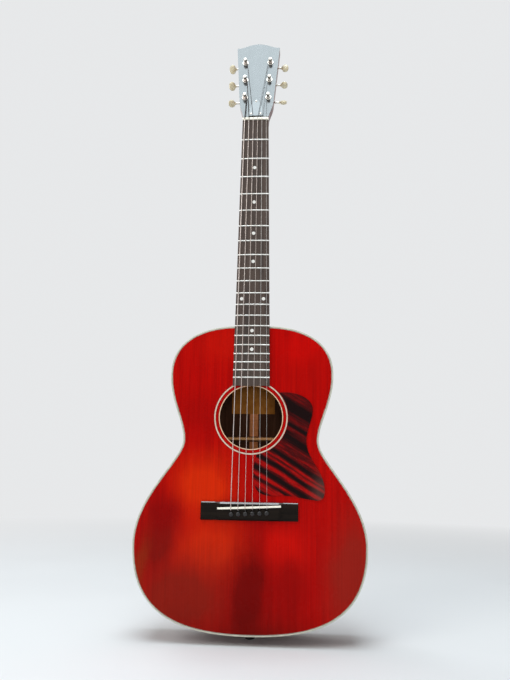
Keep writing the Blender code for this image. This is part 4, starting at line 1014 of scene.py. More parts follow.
@dataclass
class BodyShell:
    """Soundboard, back, sides and their bindings."""

    top_thickness: float = 0.0028
    back_thickness: float = 0.0026
    side_thickness: float = 0.0020
    binding_width: float = 0.0023
    binding_height: float = 0.0064
    binding_round: float = 0.0006
    dark_line: float = 0.00045
    pale_line: float = 0.0003
    hole_ring_outer: float = 0.0508
    rosette_inner: float = 0.0544
    tenon_half: float = 0.0116
    least_half: float = 0.0005
    columns: int = 20
    round_sides: int = 112

    def build(self) -> None:
        """Build and dress every piece of the shell."""
        self.soundboard()
        self.back()
        self.sides()
        self.bindings()

    def soundboard(self) -> None:
        """Spruce plate pierced for the rosette and the pins, and the band inside the rosette."""
        edge = PLAN.whole(self.binding_width + self.dark_line + self.pale_line)
        keyholes = [Bridge().keyhole(index) for index in range(STRING_COUNT)]
        middle = (0.0, HOLE_Z)
        radii = (ROSETTE_OUTER, self.rosette_inner, self.hole_ring_outer)
        rim, outer, inner = (circle(middle, radius, self.round_sides) for radius in radii)
        shape = Shape().plate([edge, rim] + keyholes, 0.0, self.top_thickness, (0, 1, 0))
        shape.plate([outer, inner], 0.0, self.top_thickness, (0, 1, 0))
        mount(shape.piece("soundboard_plate", [SPRUCE, RAW_SPRUCE_UP]), ROOT_BODY, ["soundboard"])

    def back(self) -> None:
        """Arched mahogany back, bare on its inner face."""
        rings = []
        shares = [2.0 * column / self.columns - 1.0 for column in range(self.columns + 1)]
        for x, z in PLAN.inset(self.binding_width):
            across = [max(x, self.least_half) * share for share in shares]
            outside = [(place, PLAN.depth(place, z), z) for place in across]
            inside = [(place, y - self.back_thickness, z) for place, y, _ in reversed(outside)]
            rings.append(outside + inside)
        marks = [0] * self.columns + [0] + [1] * self.columns + [0]
        shape = Shape().loft(rings, marks=marks)
        mount(shape.piece("back_board", [MAHOGANY_BACK, RAW_MAHOGANY]), ROOT_BODY, ["back_plate"])

    def sides(self) -> None:
        """Two bent sides, bare inside."""
        for side, name in ((Side.BASS, "bass_side"), (Side.TREBLE, "treble_side")):
            outer = PLAN.half() + [(self.tenon_half, PLAN.joint[1])]
            inner = PLAN.inset(self.side_thickness)
            inner.append((self.tenon_half, PLAN.joint[1] - self.side_thickness))
            rings = []
            for (out_x, out_z), (in_x, in_z) in zip(outer, inner):
                far, near = PLAN.depth(out_x, out_z), PLAN.depth(in_x, in_z)
                rings.append([(side.value * out_x, self.binding_height, out_z),
                              (side.value * out_x, far - self.binding_height, out_z),
                              (side.value * in_x, near - self.binding_height, in_z),
                              (side.value * in_x, self.binding_height, in_z)])
            shape = Shape().loft(rings, marks=(0, 0, 1, 0))
            mount(shape.piece(name + "_wood", [MAHOGANY_SIDE, RAW_MAHOGANY]), ROOT_BODY, [name])

    def trim(self, section: Sequence[Plan], behind: bool) -> Shape:
        """Strip all round the body.

        Args:
            section: pairs of inset and depth; the depth counts from the face.
            behind: whether the strip follows the back instead of the top.

        Returns:
            The strip's shape.
        """
        curves = [PLAN.whole(inset) for inset, _ in section]
        rings = []
        for step in range(len(curves[0])):
            ring = []
            for curve, (inset, depth) in zip(curves, section):
                x, z = curve[step]
                ring.append((x, PLAN.depth(x, z) - depth if behind else depth, z))
            rings.append(ring)
        return Shape().loft(rings, closed=True)

    def bindings(self) -> None:
        """Ivoroid bindings with a rounded edge, and the fine lines inside the top one."""
        width, high, edge = self.binding_width, self.binding_height, self.binding_round
        section = ((0.0, high), (0.0, edge), (edge * 0.3, edge * 0.3), (edge, 0.0), (width, 0.0),
                   (width, high))
        for node, behind in (("top_binding", False), ("back_binding", True)):
            strip = self.trim(section, behind).piece(node + "_strip", [IVOROID], 40.0)
            mount(strip, ROOT_BODY, [node])
        start, deep = width, self.top_thickness
        for name, finish, wide in (("top_dark_line", BLACK_LINE, self.dark_line),
                                   ("top_pale_line", IVOROID, self.pale_line)):
            end = start + wide
            line = self.trim(((start, deep), (start, 0.0), (end, 0.0), (end, deep)), False)
            mount(line.piece(name, [finish], 40.0), ROOT_BODY)
            start = end


@dataclass
class Rosette:
    """Rings round the soundhole."""

    depth: float = 0.0028
    sides: int = 112
    rings: tuple[tuple[str, str, float, float, Finish], ...] = (
        ("hole_ring", "soundhole_binding", 0.0487, 0.0500, CREAM_RING),
        ("hole_seam", "", 0.0500, 0.0508, STAINED_SEAM),
        ("rosette_inner_seam", "", 0.0544, 0.0551, STAINED_SEAM),
        ("rosette_pale_ring", "rosette_ring", 0.0551, 0.0571, ROSETTE_IVORY),
        ("rosette_outer_line", "", 0.0571, 0.0576, BLACK_LINE),
    )

    def build(self) -> None:
        """Build each ring as a flat annulus as deep as the soundboard."""
        for name, node, inner, outer, finish in self.rings:
            edges = [circle((0.0, HOLE_Z), radius, self.sides) for radius in (outer, inner)]
            shape = Shape().plate(edges, 0.0, self.depth)
            mount(shape.piece(name, [finish], 40.0), ROOT_BODY, [node] if node else ())


@dataclass
class Pickguard:
    """Streaked guard with a bevelled edge."""

    front: float = -0.0015
    bevel: float = 0.0005
    clearance: float = 0.0005
    follow_from: float = math.radians(-80.5)
    follow_to: float = math.radians(41.5)
    follow_steps: int = 36

    def outline(self) -> list[Plan]:
        """Closed plan curve that follows the rosette on its upper left.

        Returns:
            The points.
        """
        follow, points = ROSETTE_OUTER + self.clearance, []
        sweep = self.follow_to - self.follow_from
        for step in range(self.follow_steps + 1):
            angle = self.follow_from + sweep * step / self.follow_steps
            points.append((follow * math.cos(angle), HOLE_Z + follow * math.sin(angle)))
        tip = points.pop()
        shoulder, hollow, flank = (0.0955, -0.4785), (0.0858, -0.5265), (0.1138, -0.6020)
        corner, foot, left = (0.1030, -0.6163), (0.0500, -0.6097), (0.0052, -0.5790)
        spans = ((tip, (0.066, -0.4505), (0.0955, -0.4600), shoulder, 14),
                 (shoulder, (0.0955, -0.4950), (0.0858, -0.5120), hollow, 10),
                 (hollow, (0.0858, -0.5560), (0.1138, -0.5700), flank, 14),
                 (flank, (0.1138, -0.6110), (0.1100, -0.6168), corner, 8),
                 (corner, (0.0820, -0.6145), (0.0660, -0.6097), foot, 8),
                 (foot, (0.0190, -0.6130), (0.0052, -0.6080), left, 14),
                 (left, (0.0052, -0.5660), (0.0065, -0.5570), points[0], 8))
        for *corners, count in spans:
            points += bezier(corners, count)
        return points

    def build(self) -> None:
        """Build the guard."""
        shape = Shape().plate([self.outline()], self.front, -GLUE_GAP)
        sheet = shape.piece("pickguard_sheet", [TORTOISE], 30.0, self.bevel)
        mount(sheet, ROOT_BODY, ["pickguard"])


@dataclass
class Bridge:
    """Bridge with its scooped wings, saddle and pins."""

    top_z: float = -0.6205
    bottom_z: float = -0.6475
    half: float = 0.0740
    height: float = 0.0086
    wing_height: float = 0.0040
    plateau: float = 0.0430
    scoop: float = 0.0100
    scoop_steps: int = 10
    end_cut: float = 0.0008
    chamfer_share: float = 0.30
    rounding: float = 0.0003
    cutter_reach: float = 0.020
    saddle_z: float = -0.6279
    slant: float = math.radians(2.7)
    saddle_half: float = 0.0485
    slot_half: float = 0.0018
    slot_floor: float = 0.0036
    pin_spread: float = 0.0536
    pin_z: float = -0.6372
    pin_hole: float = 0.0030
    string_slot_half: float = 0.0011
    string_slot_reach: float = 0.0062
    pin_profile: tuple[Plan, ...] = (
        (0.0009, 0.0226), (0.0019, 0.0221), (0.0021, 0.0216), (0.0026, -0.0003), (0.0030, -0.0004),
        (0.0034, -0.0005), (0.0037, -0.0009), (0.0037, -0.0014), (0.0035, -0.0021),
        (0.0030, -0.0027), (0.0022, -0.0031), (0.0012, -0.00335), (0.0004, -0.0034))

    def build(self) -> None:
        """Build the bridge, dress the saddle and set the pins."""
        self.body()
        carry("saddle", BONE, 0.0003)
        self.pins()

    def string_x(self, index: int, spread: float) -> float:
        """Place of a string across a spread; index 0 is the bass."""
        return spread * (index / (STRING_COUNT - 1) - 0.5)

    def slanted(self, x: float, z: float) -> float:
        """Height of a point on a line that leans like the saddle."""
        return z + x * math.tan(self.slant)

    def keyhole(self, index: int, steps: int = 14) -> list[Plan]:
        """Pin hole with the string's slot on its upper side, in plan.

        Args:
            index: the string, 0 for the bass.
            steps: points round the hole.

        Returns:
            The points.
        """
        x = self.string_x(index, self.pin_spread)
        z, radius = self.slanted(x, self.pin_z), self.pin_hole
        opening = math.asin(self.string_slot_half / radius)
        points = []
        for step in range(steps + 1):
            angle = math.pi / 2.0 + opening + (2.0 * math.pi - 2.0 * opening) * step / steps
            points.append((x + radius * math.cos(angle), z + radius * math.sin(angle)))
        points.append((x + self.string_slot_half, z + self.string_slot_reach))
        points.append((x - self.string_slot_half, z + self.string_slot_reach))
        return points

    def top(self, x: float) -> float:
        """Height of the bridge above the soundboard at a place across it."""
        fall = eased((abs(x) - self.plateau) / self.scoop)
        return self.height + (self.wing_height - self.height) * fall

    def body(self) -> None:
        """Carved bridge with the saddle's slot and the pin holes."""
        positive = [self.plateau + self.scoop * step / self.scoop_steps
                    for step in range(self.scoop_steps + 1)]
        positive += [self.half - self.end_cut, self.half]
        top, bottom, rings = self.top_z, self.bottom_z, []
        for x in [-place for place in reversed(positive)] + positive:
            high = self.top(x) - (self.end_cut if abs(x) > self.half - 0.5 * self.end_cut else 0.0)
            cut = high * self.chamfer_share
            section = ((0.0, top), (cut - high, top), (-high, top - cut),
                       (-high, bottom + cut * 0.8), (cut - high, bottom), (0.0, bottom))
            rings.append([(x, y, z) for y, z in section])
        # Strip 1 is the top chamfer: its gloss is real, its paler colour a painted highlight.
        shape = Shape().loft(rings, marks=(0, 1, 0, 0, 0, 0))
        bridge = shape.piece("bridge_carved", [BRIDGE_WOOD, BRIDGE_CHAMFER_HIGHLIGHT])
        cosine, sine = math.cos(self.slant), math.sin(self.slant)
        slot = []
        for across, along in ((-1, -1), (1, -1), (1, 1), (-1, 1)):
            wide, high = across * self.saddle_half, along * self.slot_half
            slot.append((wide * cosine - high * sine, self.saddle_z + wide * sine + high * cosine))
        cutter = Shape().plate([slot], -self.cutter_reach, -self.slot_floor)
        for index in range(STRING_COUNT):
            cutter.plate([self.keyhole(index)], -self.cutter_reach - 0.001, 0.5 * self.cutter_reach)
        carve(bridge, cutter.piece("bridge_cutter", [BRIDGE_WOOD]))
        soften(bridge, self.rounding)
        mount(bridge, ROOT_BODY, ["bridge"])

    def pins(self) -> None:
        """Six turned pins, each on its own body."""
        for index in range(STRING_COUNT):
            x = self.string_x(index, self.pin_spread)
            place = Matrix.Translation((x, -self.height, self.slanted(x, self.pin_z)))
            place = place @ Matrix.Rotation(math.radians(-90.0), 4, "X")
            shape = Shape().loft(turned(self.pin_profile, 28, place))
            pin = shape.piece(numbered("pin_turned", index), [EBONY_PLASTIC], 50.0)
            mount(pin, numbered("pin", index), [numbered("bridge_pin", index)])


@dataclass
class Neck:
    """Neck wood, fretboard, frets, dots, nut and heel cap."""

    scale_length: float = 0.62865
    fret_count: int = 20
    nut_half: float = 0.02145
    end_half: float = 0.02885
    end_z: float = -0.4434
    thickness: float = 0.0064
    camber_radius: float = 0.305
    nut_gap: float = 0.0002
    board_columns: int = 18
    board_rows: int = 12
    fret_half: float = 0.00115
    fret_height: float = 0.0011
    fret_sunk: float = 0.0002
    fret_end_share: float = 0.55
    fret_columns: int = 12
    fret_arc: int = 8
    dot_radius: float = 0.00275
    double_x: float = 0.0174
    side_dot_radius: float = 0.0011
    side_dot_shift: float = 0.0022
    dot_frets: tuple[int, ...] = (3, 5, 7, 9, 12, 15, 17)
    double_fret: int = 12
    shoulder: float = -0.3483
    depth_nut: float = 0.0145
    depth_heel: float = 0.0175
    heel_depth: float = 0.0895
    heel_tip: float = 0.0055
    heel_flare: float = 0.0218
    heel_fade: float = 0.080
    heel_reach: float = 0.0195
    heel_sweep: float = 0.00030
    heel_fold: float = 0.0115
    heel_shallow: float = 0.0165
    heel_rows: tuple[float, ...] = (0.0, 0.006, 0.012, 0.0165, 0.0195, 0.0215, 0.0227, 0.02325)
    heel_depths: tuple[float, ...] = (
        0.088, 0.081, 0.073, 0.066, 0.059, 0.052, 0.046, 0.041, 0.0365, 0.0325, 0.029, 0.026,
        0.0235, 0.0215, 0.0200, 0.0187, 0.0177, 0.0169, 0.0162)
    melt_width: float = 0.004
    melt_depth: float = 0.006
    spine: float = 0.0002
    ridge: float = 0.002
    shaft_rows: tuple[float, ...] = (0.094, 0.110, 0.130, 0.160, 0.200, 0.240, 0.280, 0.3125)
    crossover_z: float = -0.0280
    crossover_rows: int = 16
    steps: int = 40
    head_thickness: float = 0.0140
    post_hole: float = 0.0045
    tenon: Box = (0.0110, -0.3656, -0.3443, 0.0080, 0.0780)
    rod_channel: Box = (0.0032, -0.3300, 0.0300, -0.0040, 0.0100)
    rod_pocket: Box = (0.0062, -0.0040, 0.0300, -0.0064, 0.0110)

    def build(self) -> None:
        """Build the wood and the board's pieces, and dress the small fittings."""
        self.wood()
        carry("heel_cap", IVOROID, 0.0003)
        carry("nut", BONE, 0.0003)
        self.board()
        self.frets()
        self.dots()

    def camber(self, x: float) -> float:
        """How far the board falls away beside its middle."""
        return x * x / (2.0 * self.camber_radius)

    def fret_z(self, number: int) -> float:
        """Height of a fret, by the rule of the scale."""
        return -self.scale_length * (1.0 - 2.0 ** (-number / 12.0))

    def half(self, z: float) -> float:
        """Half width of the board at a height."""
        return self.nut_half + (self.end_half - self.nut_half) * z / self.end_z

    def heel_width(self, depth: float, above: float) -> float:
        """Half width of the heel.

        Args:
            depth: distance behind the board.
            above: height over the shoulder.

        Returns:
            The half width, or 0 outside the heel.
        """
        reach = self.heel_reach + self.heel_sweep / (max(depth, self.heel_shallow) - self.heel_fold)
        wide = self.heel_tip + self.heel_flare * math.exp(-depth / self.heel_fade)
        return wide * max(0.0, 1.0 - (above / reach) ** 2) ** 0.45

    def shaft_depth(self, z: float) -> float:
        """Depth of the shaft behind the board at a height."""
        return self.depth_nut + (self.depth_heel - self.depth_nut) * max(0.0, z / self.shoulder)

    def slice(self, z: float) -> list[Point]:
        """Ring round shaft and heel, the one melting into the other.

        Args:
            z: its height.

        Returns:
            The ring, from the treble side round the back.
        """
        above, half, shaft = z - self.shoulder, self.half(z), self.shaft_depth(z)
        past = max(above - self.heel_reach, 0.000001)
        heel = min(self.heel_depth, self.heel_fold + self.heel_sweep / past)
        deepest = max(shaft, heel)
        full = (shaft ** 12 + heel ** 12) ** (1.0 / 12.0)
        crowding = 0.85 + 0.45 * min(1.0, (full - shaft) / 0.07)
        treble = []
        for step in range(self.steps + 1):
            share = math.sin(0.5 * math.pi * step / self.steps) ** crowding
            depth = deepest * share
            round_part = half * max(0.0, 1.0 - (depth / shaft) ** (2.0 / 0.85)) ** 0.46
            heel_part = self.heel_width(depth, above)
            melt = self.melt_width * min(1.0, depth / self.melt_depth) + 0.0000001
            overlap = max(0.0, 1.0 - abs(round_part - heel_part) / melt)
            wide = max(round_part, heel_part) + 0.25 * melt * overlap * overlap
            if step == self.steps and wide <= self.ridge:
                wide = self.spine
            treble.append((max(wide, self.spine), full * share, z))
        return treble + [(-x, y, level) for x, y, level in reversed(treble)]

    def crossover(self, share: float) -> list[Point]:
        """Ring between the round shaft and the square head.

        Args:
            share: 0 at the shaft, 1 at the head's lower end.

        Returns:
            The ring, from the treble side round the back.
        """
        blend, lean = eased(share), share * share * self.head_thickness * math.sin(HEAD.tilt)
        z = self.crossover_z + (HEAD.root_z - self.crossover_z) * share
        half, shaft = self.half(min(z, 0.0)), self.shaft_depth(z)
        deep = shaft + (self.head_thickness * math.cos(HEAD.tilt) - shaft) * blend
        treble = []
        for step in range(self.steps + 1):
            angle = 0.5 * math.pi * step / self.steps
            cosine, sine = max(0.0, math.cos(angle)), math.sin(angle)
            square = 1.0 / max(cosine, sine)
            wide = cosine ** 0.92 * (1.0 - blend) + cosine * square * blend
            back = sine ** 0.85 * (1.0 - blend) + sine * square * blend
            treble.append((max(half * wide, self.spine), deep * back, z - lean * back))
        return treble + [(-x, y, level) for x, y, level in reversed(treble)]

    def block(self, box: Box) -> bpy.types.Object:
        """Plain block for cutting or joining.

        Args:
            box: its half width, lower end, upper end, front and back.

        Returns:
            The block.
        """
        half, low, high, front, back = box
        plan = [(-half, low), (half, low), (half, high), (-half, high)]
        return Shape().plate([plan], front, back).piece("neck_tool", [MAHOGANY_NECK])

    def head_plate(self) -> bpy.types.Object:
        """Head without its black face: flared from the nut, square ears, domed top.

        Returns:
            The head, pierced for the posts.
        """
        cheek, ear, dip, crown = (0.0284, 0.0320), (0.0372, 0.1553), (0.0280, 0.1563), (0.0, 0.1643)
        half = self.nut_half
        outline = bezier(((half, 0.0), (half, 0.0100), (0.0268, 0.0180), cheek), 6)
        outline += bezier((cheek, (0.0305, 0.0600), (0.0345, 0.1150), ear), 3)
        outline += bezier((ear, (0.0345, 0.1548), (0.0310, 0.1555), dip), 3)
        outline += bezier((dip, (0.0200, 0.1590), (0.0115, crown[1]), crown), 6)
        outline += [crown] + [(-x, u) for x, u in reversed(outline)]
        back = HEAD.matrix().inverted()
        holes = []
        for index in range(STRING_COUNT):
            axis = (back @ HEAD.machine(index)).translation
            holes.append(circle((axis.x, axis.y), self.post_hole, 28))
        place = Matrix.Translation((0.0, 0.0, HEAD.root_z)) @ Matrix.Rotation(-HEAD.tilt, 4, "X")
        shape = Shape().plate([outline] + holes, 0.0, self.head_thickness).moved(place)
        return shape.piece("head_plate", [MAHOGANY_NECK])

    def wood(self) -> None:
        """Shaft, heel, tenon and head from one length of wood, with the rod's channel in it."""
        flare = [self.heel_reach + self.heel_sweep / (depth - self.heel_fold)
                 for depth in self.heel_depths]
        rows = (*self.heel_rows, *flare, *self.shaft_rows)
        rings = [self.slice(self.shoulder + row) for row in rows]
        last = self.crossover_rows
        rings += [self.crossover(row / last) for row in range(last + 1)]
        inside = [(x * 0.97, 0.0008 + y * 0.95, z + 0.0020) for x, y, z in rings[-1]]
        neck = Shape().loft(rings + [inside]).piece("neck_carved", [MAHOGANY_NECK], 32.0)
        carve(neck, self.head_plate(), Joining.GROW)
        carve(neck, self.block(self.tenon), Joining.GROW)
        carve(neck, self.block(self.rod_channel))
        carve(neck, self.block(self.rod_pocket))
        neck.data.set_sharp_from_angle(angle=SHARP_ANGLE)
        soften(neck, 0.0004)
        mount(neck, ROOT_BODY, ["neck"])

    def board(self) -> None:
        """Cambered, tapering rosewood board."""
        rings = []
        for row in range(self.board_rows + 1):
            z = -self.nut_gap + (self.end_z + self.nut_gap) * row / self.board_rows
            half = self.half(z)
            ring = [(half, -GLUE_GAP, z)]
            for column in range(self.board_columns + 1):
                x = half * (1.0 - 2.0 * column / self.board_columns)
                ring.append((x, -self.thickness + self.camber(x), z))
            rings.append(ring + [(-half, -GLUE_GAP, z)])
        board = Shape().loft(rings).piece("board_wood", [ROSEWOOD], 30.0, 0.0003)
        mount(board, ROOT_BODY, ["fretboard"])

    def frets(self) -> None:
        """Twenty crowned wires across the board, their ends dressed back."""
        shape = Shape()
        for number in range(1, self.fret_count + 1):
            middle, rings = self.fret_z(number), []
            for column in range(self.fret_columns + 1):
                x = self.half(middle) * (2.0 * column / self.fret_columns - 1.0)
                full = self.fret_end_share if column in (0, self.fret_columns) else 1.0
                lift = self.fret_height * full + self.fret_sunk
                foot, ring = -self.thickness + self.camber(x) + self.fret_sunk, []
                for step in range(self.fret_arc + 1):
                    angle = math.pi * step / self.fret_arc
                    ring.append((x, foot - lift * math.sin(angle) ** 0.8,
                                 middle + self.fret_half * math.cos(angle)))
                rings.append(ring)
            shape.loft(rings)
        mount(shape.piece("fret_wires", [FRET_METAL], 50.0), ROOT_BODY, ["fretboard"])

    def dots(self) -> None:
        """Pearl dots let into the board and small ones in its bass edge."""
        front, edge = Shape(), Shape()
        for fret in self.dot_frets:
            z = (self.fret_z(fret) + self.fret_z(fret - 1)) / 2.0
            across = (-self.double_x, self.double_x) if fret == self.double_fret else (0.0,)
            for x in across:
                place = Matrix.Translation((x, -self.thickness + self.camber(x), z))
                place = place @ Matrix.Rotation(math.atan(x / self.camber_radius), 4, "Z")
                place = place @ Matrix.Rotation(math.radians(90.0), 4, "X")
                profile = ((self.dot_radius, -0.0010), (self.dot_radius, 0.00003),
                           (self.dot_radius * 0.9, 0.00006), (self.dot_radius * 0.3, 0.00007))
                front.loft(turned(profile, 28, place))
            beside = self.side_dot_shift
            shifts = (-beside, beside) if fret == self.double_fret else (0.0,)
            for shift in shifts:
                place = Matrix.Translation((-self.half(z), -self.thickness * 0.55, z + shift))
                place = place @ Matrix.Rotation(math.radians(-90.0), 4, "Y")
                profile = ((self.side_dot_radius, -0.0008), (self.side_dot_radius, 0.00002),
                           (self.side_dot_radius * 0.5, 0.00005))
                edge.loft(turned(profile, 14, place))
        mount(front.piece("pearl_dots", [PEARL], 40.0), ROOT_BODY)
        mount(edge.piece("side_dots", [PEARL], 40.0), ROOT_BODY)


@dataclass(frozen=True)
class HeadFrame:
    """Where the head lies: its own axes are X, U up the head and N out of its face."""

    root_z: float = 0.0053
    tilt: float = math.radians(14.0)
    post_pitch: float = 0.0389
    post_u: float = 0.0818
    post_x: float = 0.0207
    splay: float = math.radians(1.3)

    def matrix(self) -> Matrix:
        """Head coordinates to the guitar's."""
        lean = Matrix.Rotation(math.pi / 2.0 - self.tilt, 4, "X")
        return Matrix.Translation((0.0, 0.0, self.root_z)) @ lean

    def seat(self, index: int) -> tuple[Side, int]:
        """Side and row of a string's post; row 0 is nearest the nut."""
        opposite = STRING_COUNT - 1 - index
        return (Side.BASS, index) if index < opposite else (Side.TREBLE, opposite)

    def machine(self, index: int) -> Matrix:
        """Axes of one tuning machine, its origin on the post at the head's face.

        Args:
            index: the string, 0 for the bass.

        Returns:
            The matrix; its X points outwards on both sides.
        """
        side, row = self.seat(index)
        place = self.matrix() @ Matrix.Translation((side.value * self.post_x, self.post_u, 0.0))
        place = place @ Matrix.Rotation(-side.value * self.splay, 4, "Z")
        place = place @ Matrix.Translation((0.0, (row - 1) * self.post_pitch, 0.0))
        return place @ Matrix.Diagonal((side.value, 1.0, 1.0, 1.0))


HEAD = HeadFrame()


@dataclass(frozen=True)
class ScrewHead:
    """Round screw head with a straight slot."""

    radius: float
    height: float
    slot_share: float = 0.16
    floor_share: float = 0.35
    arc: int = 5
    sides: int = 12

    def shape(self, place: Matrix, turn: float) -> Shape:
        """Two half domes with the slot's floor between them.

        Args:
            place: middle of its seat, Z outwards.
            turn: direction of the slot, in radians.

        Returns:
            The screw's shape.
        """
        shape, radius = Shape(), self.radius
        slot, floor = radius * self.slot_share, self.height * self.floor_share
        spin = place @ Matrix.Rotation(turn, 4, "Z")
        for sign in (-1.0, 1.0):
            rings = []
            for step in range(self.arc + 1):
                sweep = 0.5 * math.pi * step / self.arc
                reach, along = radius * math.cos(sweep), self.height * math.sin(sweep)
                start = math.asin(min(1.0, slot / max(reach, slot)))
                ring = []
                for corner in range(self.sides + 1):
                    angle = start + (math.pi - 2.0 * start) * corner / self.sides
                    across = sign * max(reach * math.sin(angle), slot)
                    ring.append(tuple(spin @ Vector((reach * math.cos(angle), across, along))))
                rings.append(ring)
            shape.loft(rings)
        bed = ((radius * 0.98, 0.0), (radius * 0.98, floor * 0.4), (radius * 0.85, floor))
        return shape.loft(turned(bed, 20, spin))


@dataclass
class Head:
    """Head face, its rod cover and the small fittings on it."""

    face_level: float = 0.0023
    cover_level: float = 0.0042
    bushing: tuple[Plan, ...] = ((0.0034, -0.0010), (0.0052, 0.0), (0.0053, 0.0005),
                                 (0.0049, 0.0010), (0.0038, 0.0012), (0.0034, 0.0011))
    screw: ScrewHead = ScrewHead(0.0019, 0.0007)
    cover_screws: tuple[Plan, ...] = ((0.0, 0.0335), (-0.0078, 0.0070), (0.0078, 0.0070))

    def build(self) -> None:
        """Dress the face and cover; add bushings and screws."""
        # The head face's rounding takes the near-white painted highlight.
        carry("head_overlay", HEAD_LACQUER, 0.0016, HEAD_EDGE_HIGHLIGHT)
        carry("truss_rod_cover", COVER_LACQUER, 0.0004)
        carry("truss_rod", STEEL)
        carry("truss_rod_nut", STEEL, 0.0002)
        for index in range(STRING_COUNT):
            place = HEAD.machine(index) @ Matrix.Translation((0.0, 0.0, self.face_level))
            shape = Shape().loft(turned(self.bushing, 28, place), closed=True)
            mount(shape.piece(numbered("post_bushing", index), [NICKEL], 40.0), ROOT_BODY)
        for number, (x, u) in enumerate(self.cover_screws, start=1):
            place = HEAD.matrix() @ Matrix.Translation((x, u, self.cover_level))
            shape = self.screw.shape(place, 0.9 * number)
            mount(shape.piece("cover_screw_%d" % number, [NICKEL], 40.0), ROOT_BODY)


@dataclass
class TuningMachines:
    """Posts with gears, keys with worms and buttons, and their strips."""

    teeth: int = 14
    module: float = 0.0008
    tooth_over: float = 0.0006
    tooth_under: float = 0.00085
    tooth_halves: Point = (0.00078, 0.00054, 0.00030)
    gear_levels: tuple[Plan, ...] = ((-0.00175, 0.0003), (-0.0014, 0.0), (0.0014, 0.0),
                                     (0.00175, 0.0003))
    gear_seat: float = -0.02158
    gear_screw: ScrewHead = ScrewHead(0.0024, 0.0013)
    worm_level: float = -0.0194
    worm_pitch_radius: float = 0.0030
    worm_core: float = 0.00215
    worm_tip: float = 0.0036
    worm_half: float = 0.0044
    shaft: float = 0.0016
    thread_foot: float = 0.0004
    thread_sunk: float = 0.0003
    thread_halves: Plan = (0.00078, 0.00026)
    thread_steps: int = 28
    thread_turns: int = 3
    strip_back: float = -0.0153
    strip_screw: ScrewHead = ScrewHead(0.0021, 0.0009)
    strip_holes: tuple[Plan, ...] = ((0.0, -0.0515), (-0.0048, -0.0265), (-0.0048, 0.0125),
                                     (0.0, 0.0515))
    button_centre: float = 0.0246
    button_length: float = 0.0058
    button_width: float = 0.0079
    button_thickness: float = 0.0036
    button_steps: int = 16
    collar: tuple[Plan, ...] = ((0.0016, 0.0018), (0.0014, 0.0022), (0.0004, 0.0023))
    button_angles: tuple[float, ...] = (86.0, 66.0, 46.0, 3.0, 94.0, 136.0)
    post_profile: tuple[Plan, ...] = (
        (0.0016, -0.0216), (0.0027, -0.0214), (0.0028, -0.0194), (0.0033, -0.0156),
        (0.0030, -0.0153), (0.0030, 0.0042), (0.0029, 0.0046), (0.00265, 0.0056), (0.00262, 0.0070),
        (0.0028, 0.0080), (0.0030, 0.0086), (0.0030, 0.0118), (0.0028, 0.0122), (0.0023, 0.0125),
        (0.0008, 0.0125))

    def build(self) -> None:
        """Build six machines and dress the strips."""
        for index in range(STRING_COUNT):
            self.post(index)
            self.key(index)
        carry("tuner_plate_bass", NICKEL, 0.0002)
        carry("tuner_plate_treble", NICKEL, 0.0002)
        self.strip_screws()

    def axis_gap(self) -> float:
        """Distance from the post's axis to the worm's."""
        return self.module * self.teeth / 2.0 + self.worm_pitch_radius

    def gear(self, place: Matrix) -> list[list[Point]]:
        """Rings of the toothed wheel, its teeth leaning along the worm's thread.

        Args:
            place: the machine's axes.

        Returns:
            The rings.
        """
        pitch_radius = self.module * self.teeth / 2.0
        tip, root = pitch_radius + self.tooth_over, pitch_radius - self.tooth_under
        lead = self.module / (2.0 * self.worm_pitch_radius)
        turn = 2.0 * math.pi / self.teeth
        rings = []
        for level, shrink in self.gear_levels:
            flank = list(zip((root, pitch_radius, tip - shrink), self.tooth_halves))
            outline = [(radius, -half) for radius, half in flank] + list(reversed(flank))
            ring = []
            for tooth in range(self.teeth):
                middle = math.pi / 2.0 + (tooth + 0.5) * turn + lead * level / pitch_radius
                for radius, half in outline:
                    angle = middle + half / radius
                    x, y = radius * math.cos(angle), radius * math.sin(angle)
                    ring.append(tuple(place @ Vector((x, y, self.worm_level + level))))
            rings.append(ring)
        return rings

    def post(self, index: int) -> None:
        """String post with its gear and the screw that holds the gear.

        Args:
            index: the string, 0 for the bass.
        """
        place = HEAD.machine(index)
        shape = Shape().loft(turned(self.post_profile, 28, place)).loft(self.gear(place))
        name, node = numbered("post", index), numbered("tuner_post", index)
        mount(shape.piece(name + "_turned", [NICKEL], 38.0), name, [node])
        under = place @ Matrix.Translation((0.0, 0.0, self.gear_seat))
        screw = self.gear_screw.shape(under @ Matrix.Rotation(math.pi, 4, "X"), 0.7 * index)
        mount(screw.piece(name + "_gear_screw", [NICKEL], 40.0), name)

    def button(self, index: int, place: Matrix) -> Shape:
        """Oval button with a raised collar.

        Args:
            index: the string, 0 for the bass.
            place: the key's axes, X outwards.

        Returns:
            The button's shape.
        """
        angle = math.radians(self.button_angles[index])
        cosine, sine = math.cos(angle), math.sin(angle)
        inner = self.button_centre - self.button_length
        stations = [(inner - before, radius, radius) for before, radius in self.collar]
        for step in range(self.button_steps + 1):
            sweep = math.pi * (0.10 + 0.895 * step / self.button_steps)
            stations.append((self.button_centre - self.button_length * math.cos(sweep),
                             self.button_width * math.sin(sweep) ** 0.9,
                             self.button_thickness * math.sin(sweep) ** 0.62))
        rings = []
        for along, wide, thick in stations:
            ring = []
            for first, second in circle((0.0, 0.0), 1.0, 28):
                y = math.copysign(abs(first) ** 0.94, first) * wide
                z = math.copysign(abs(second) ** 0.94, second) * thick
                point = Vector((along, y * cosine - z * sine, y * sine + z * cosine))
                ring.append(tuple(place @ point))
            rings.append(ring)
        return Shape().loft(rings)

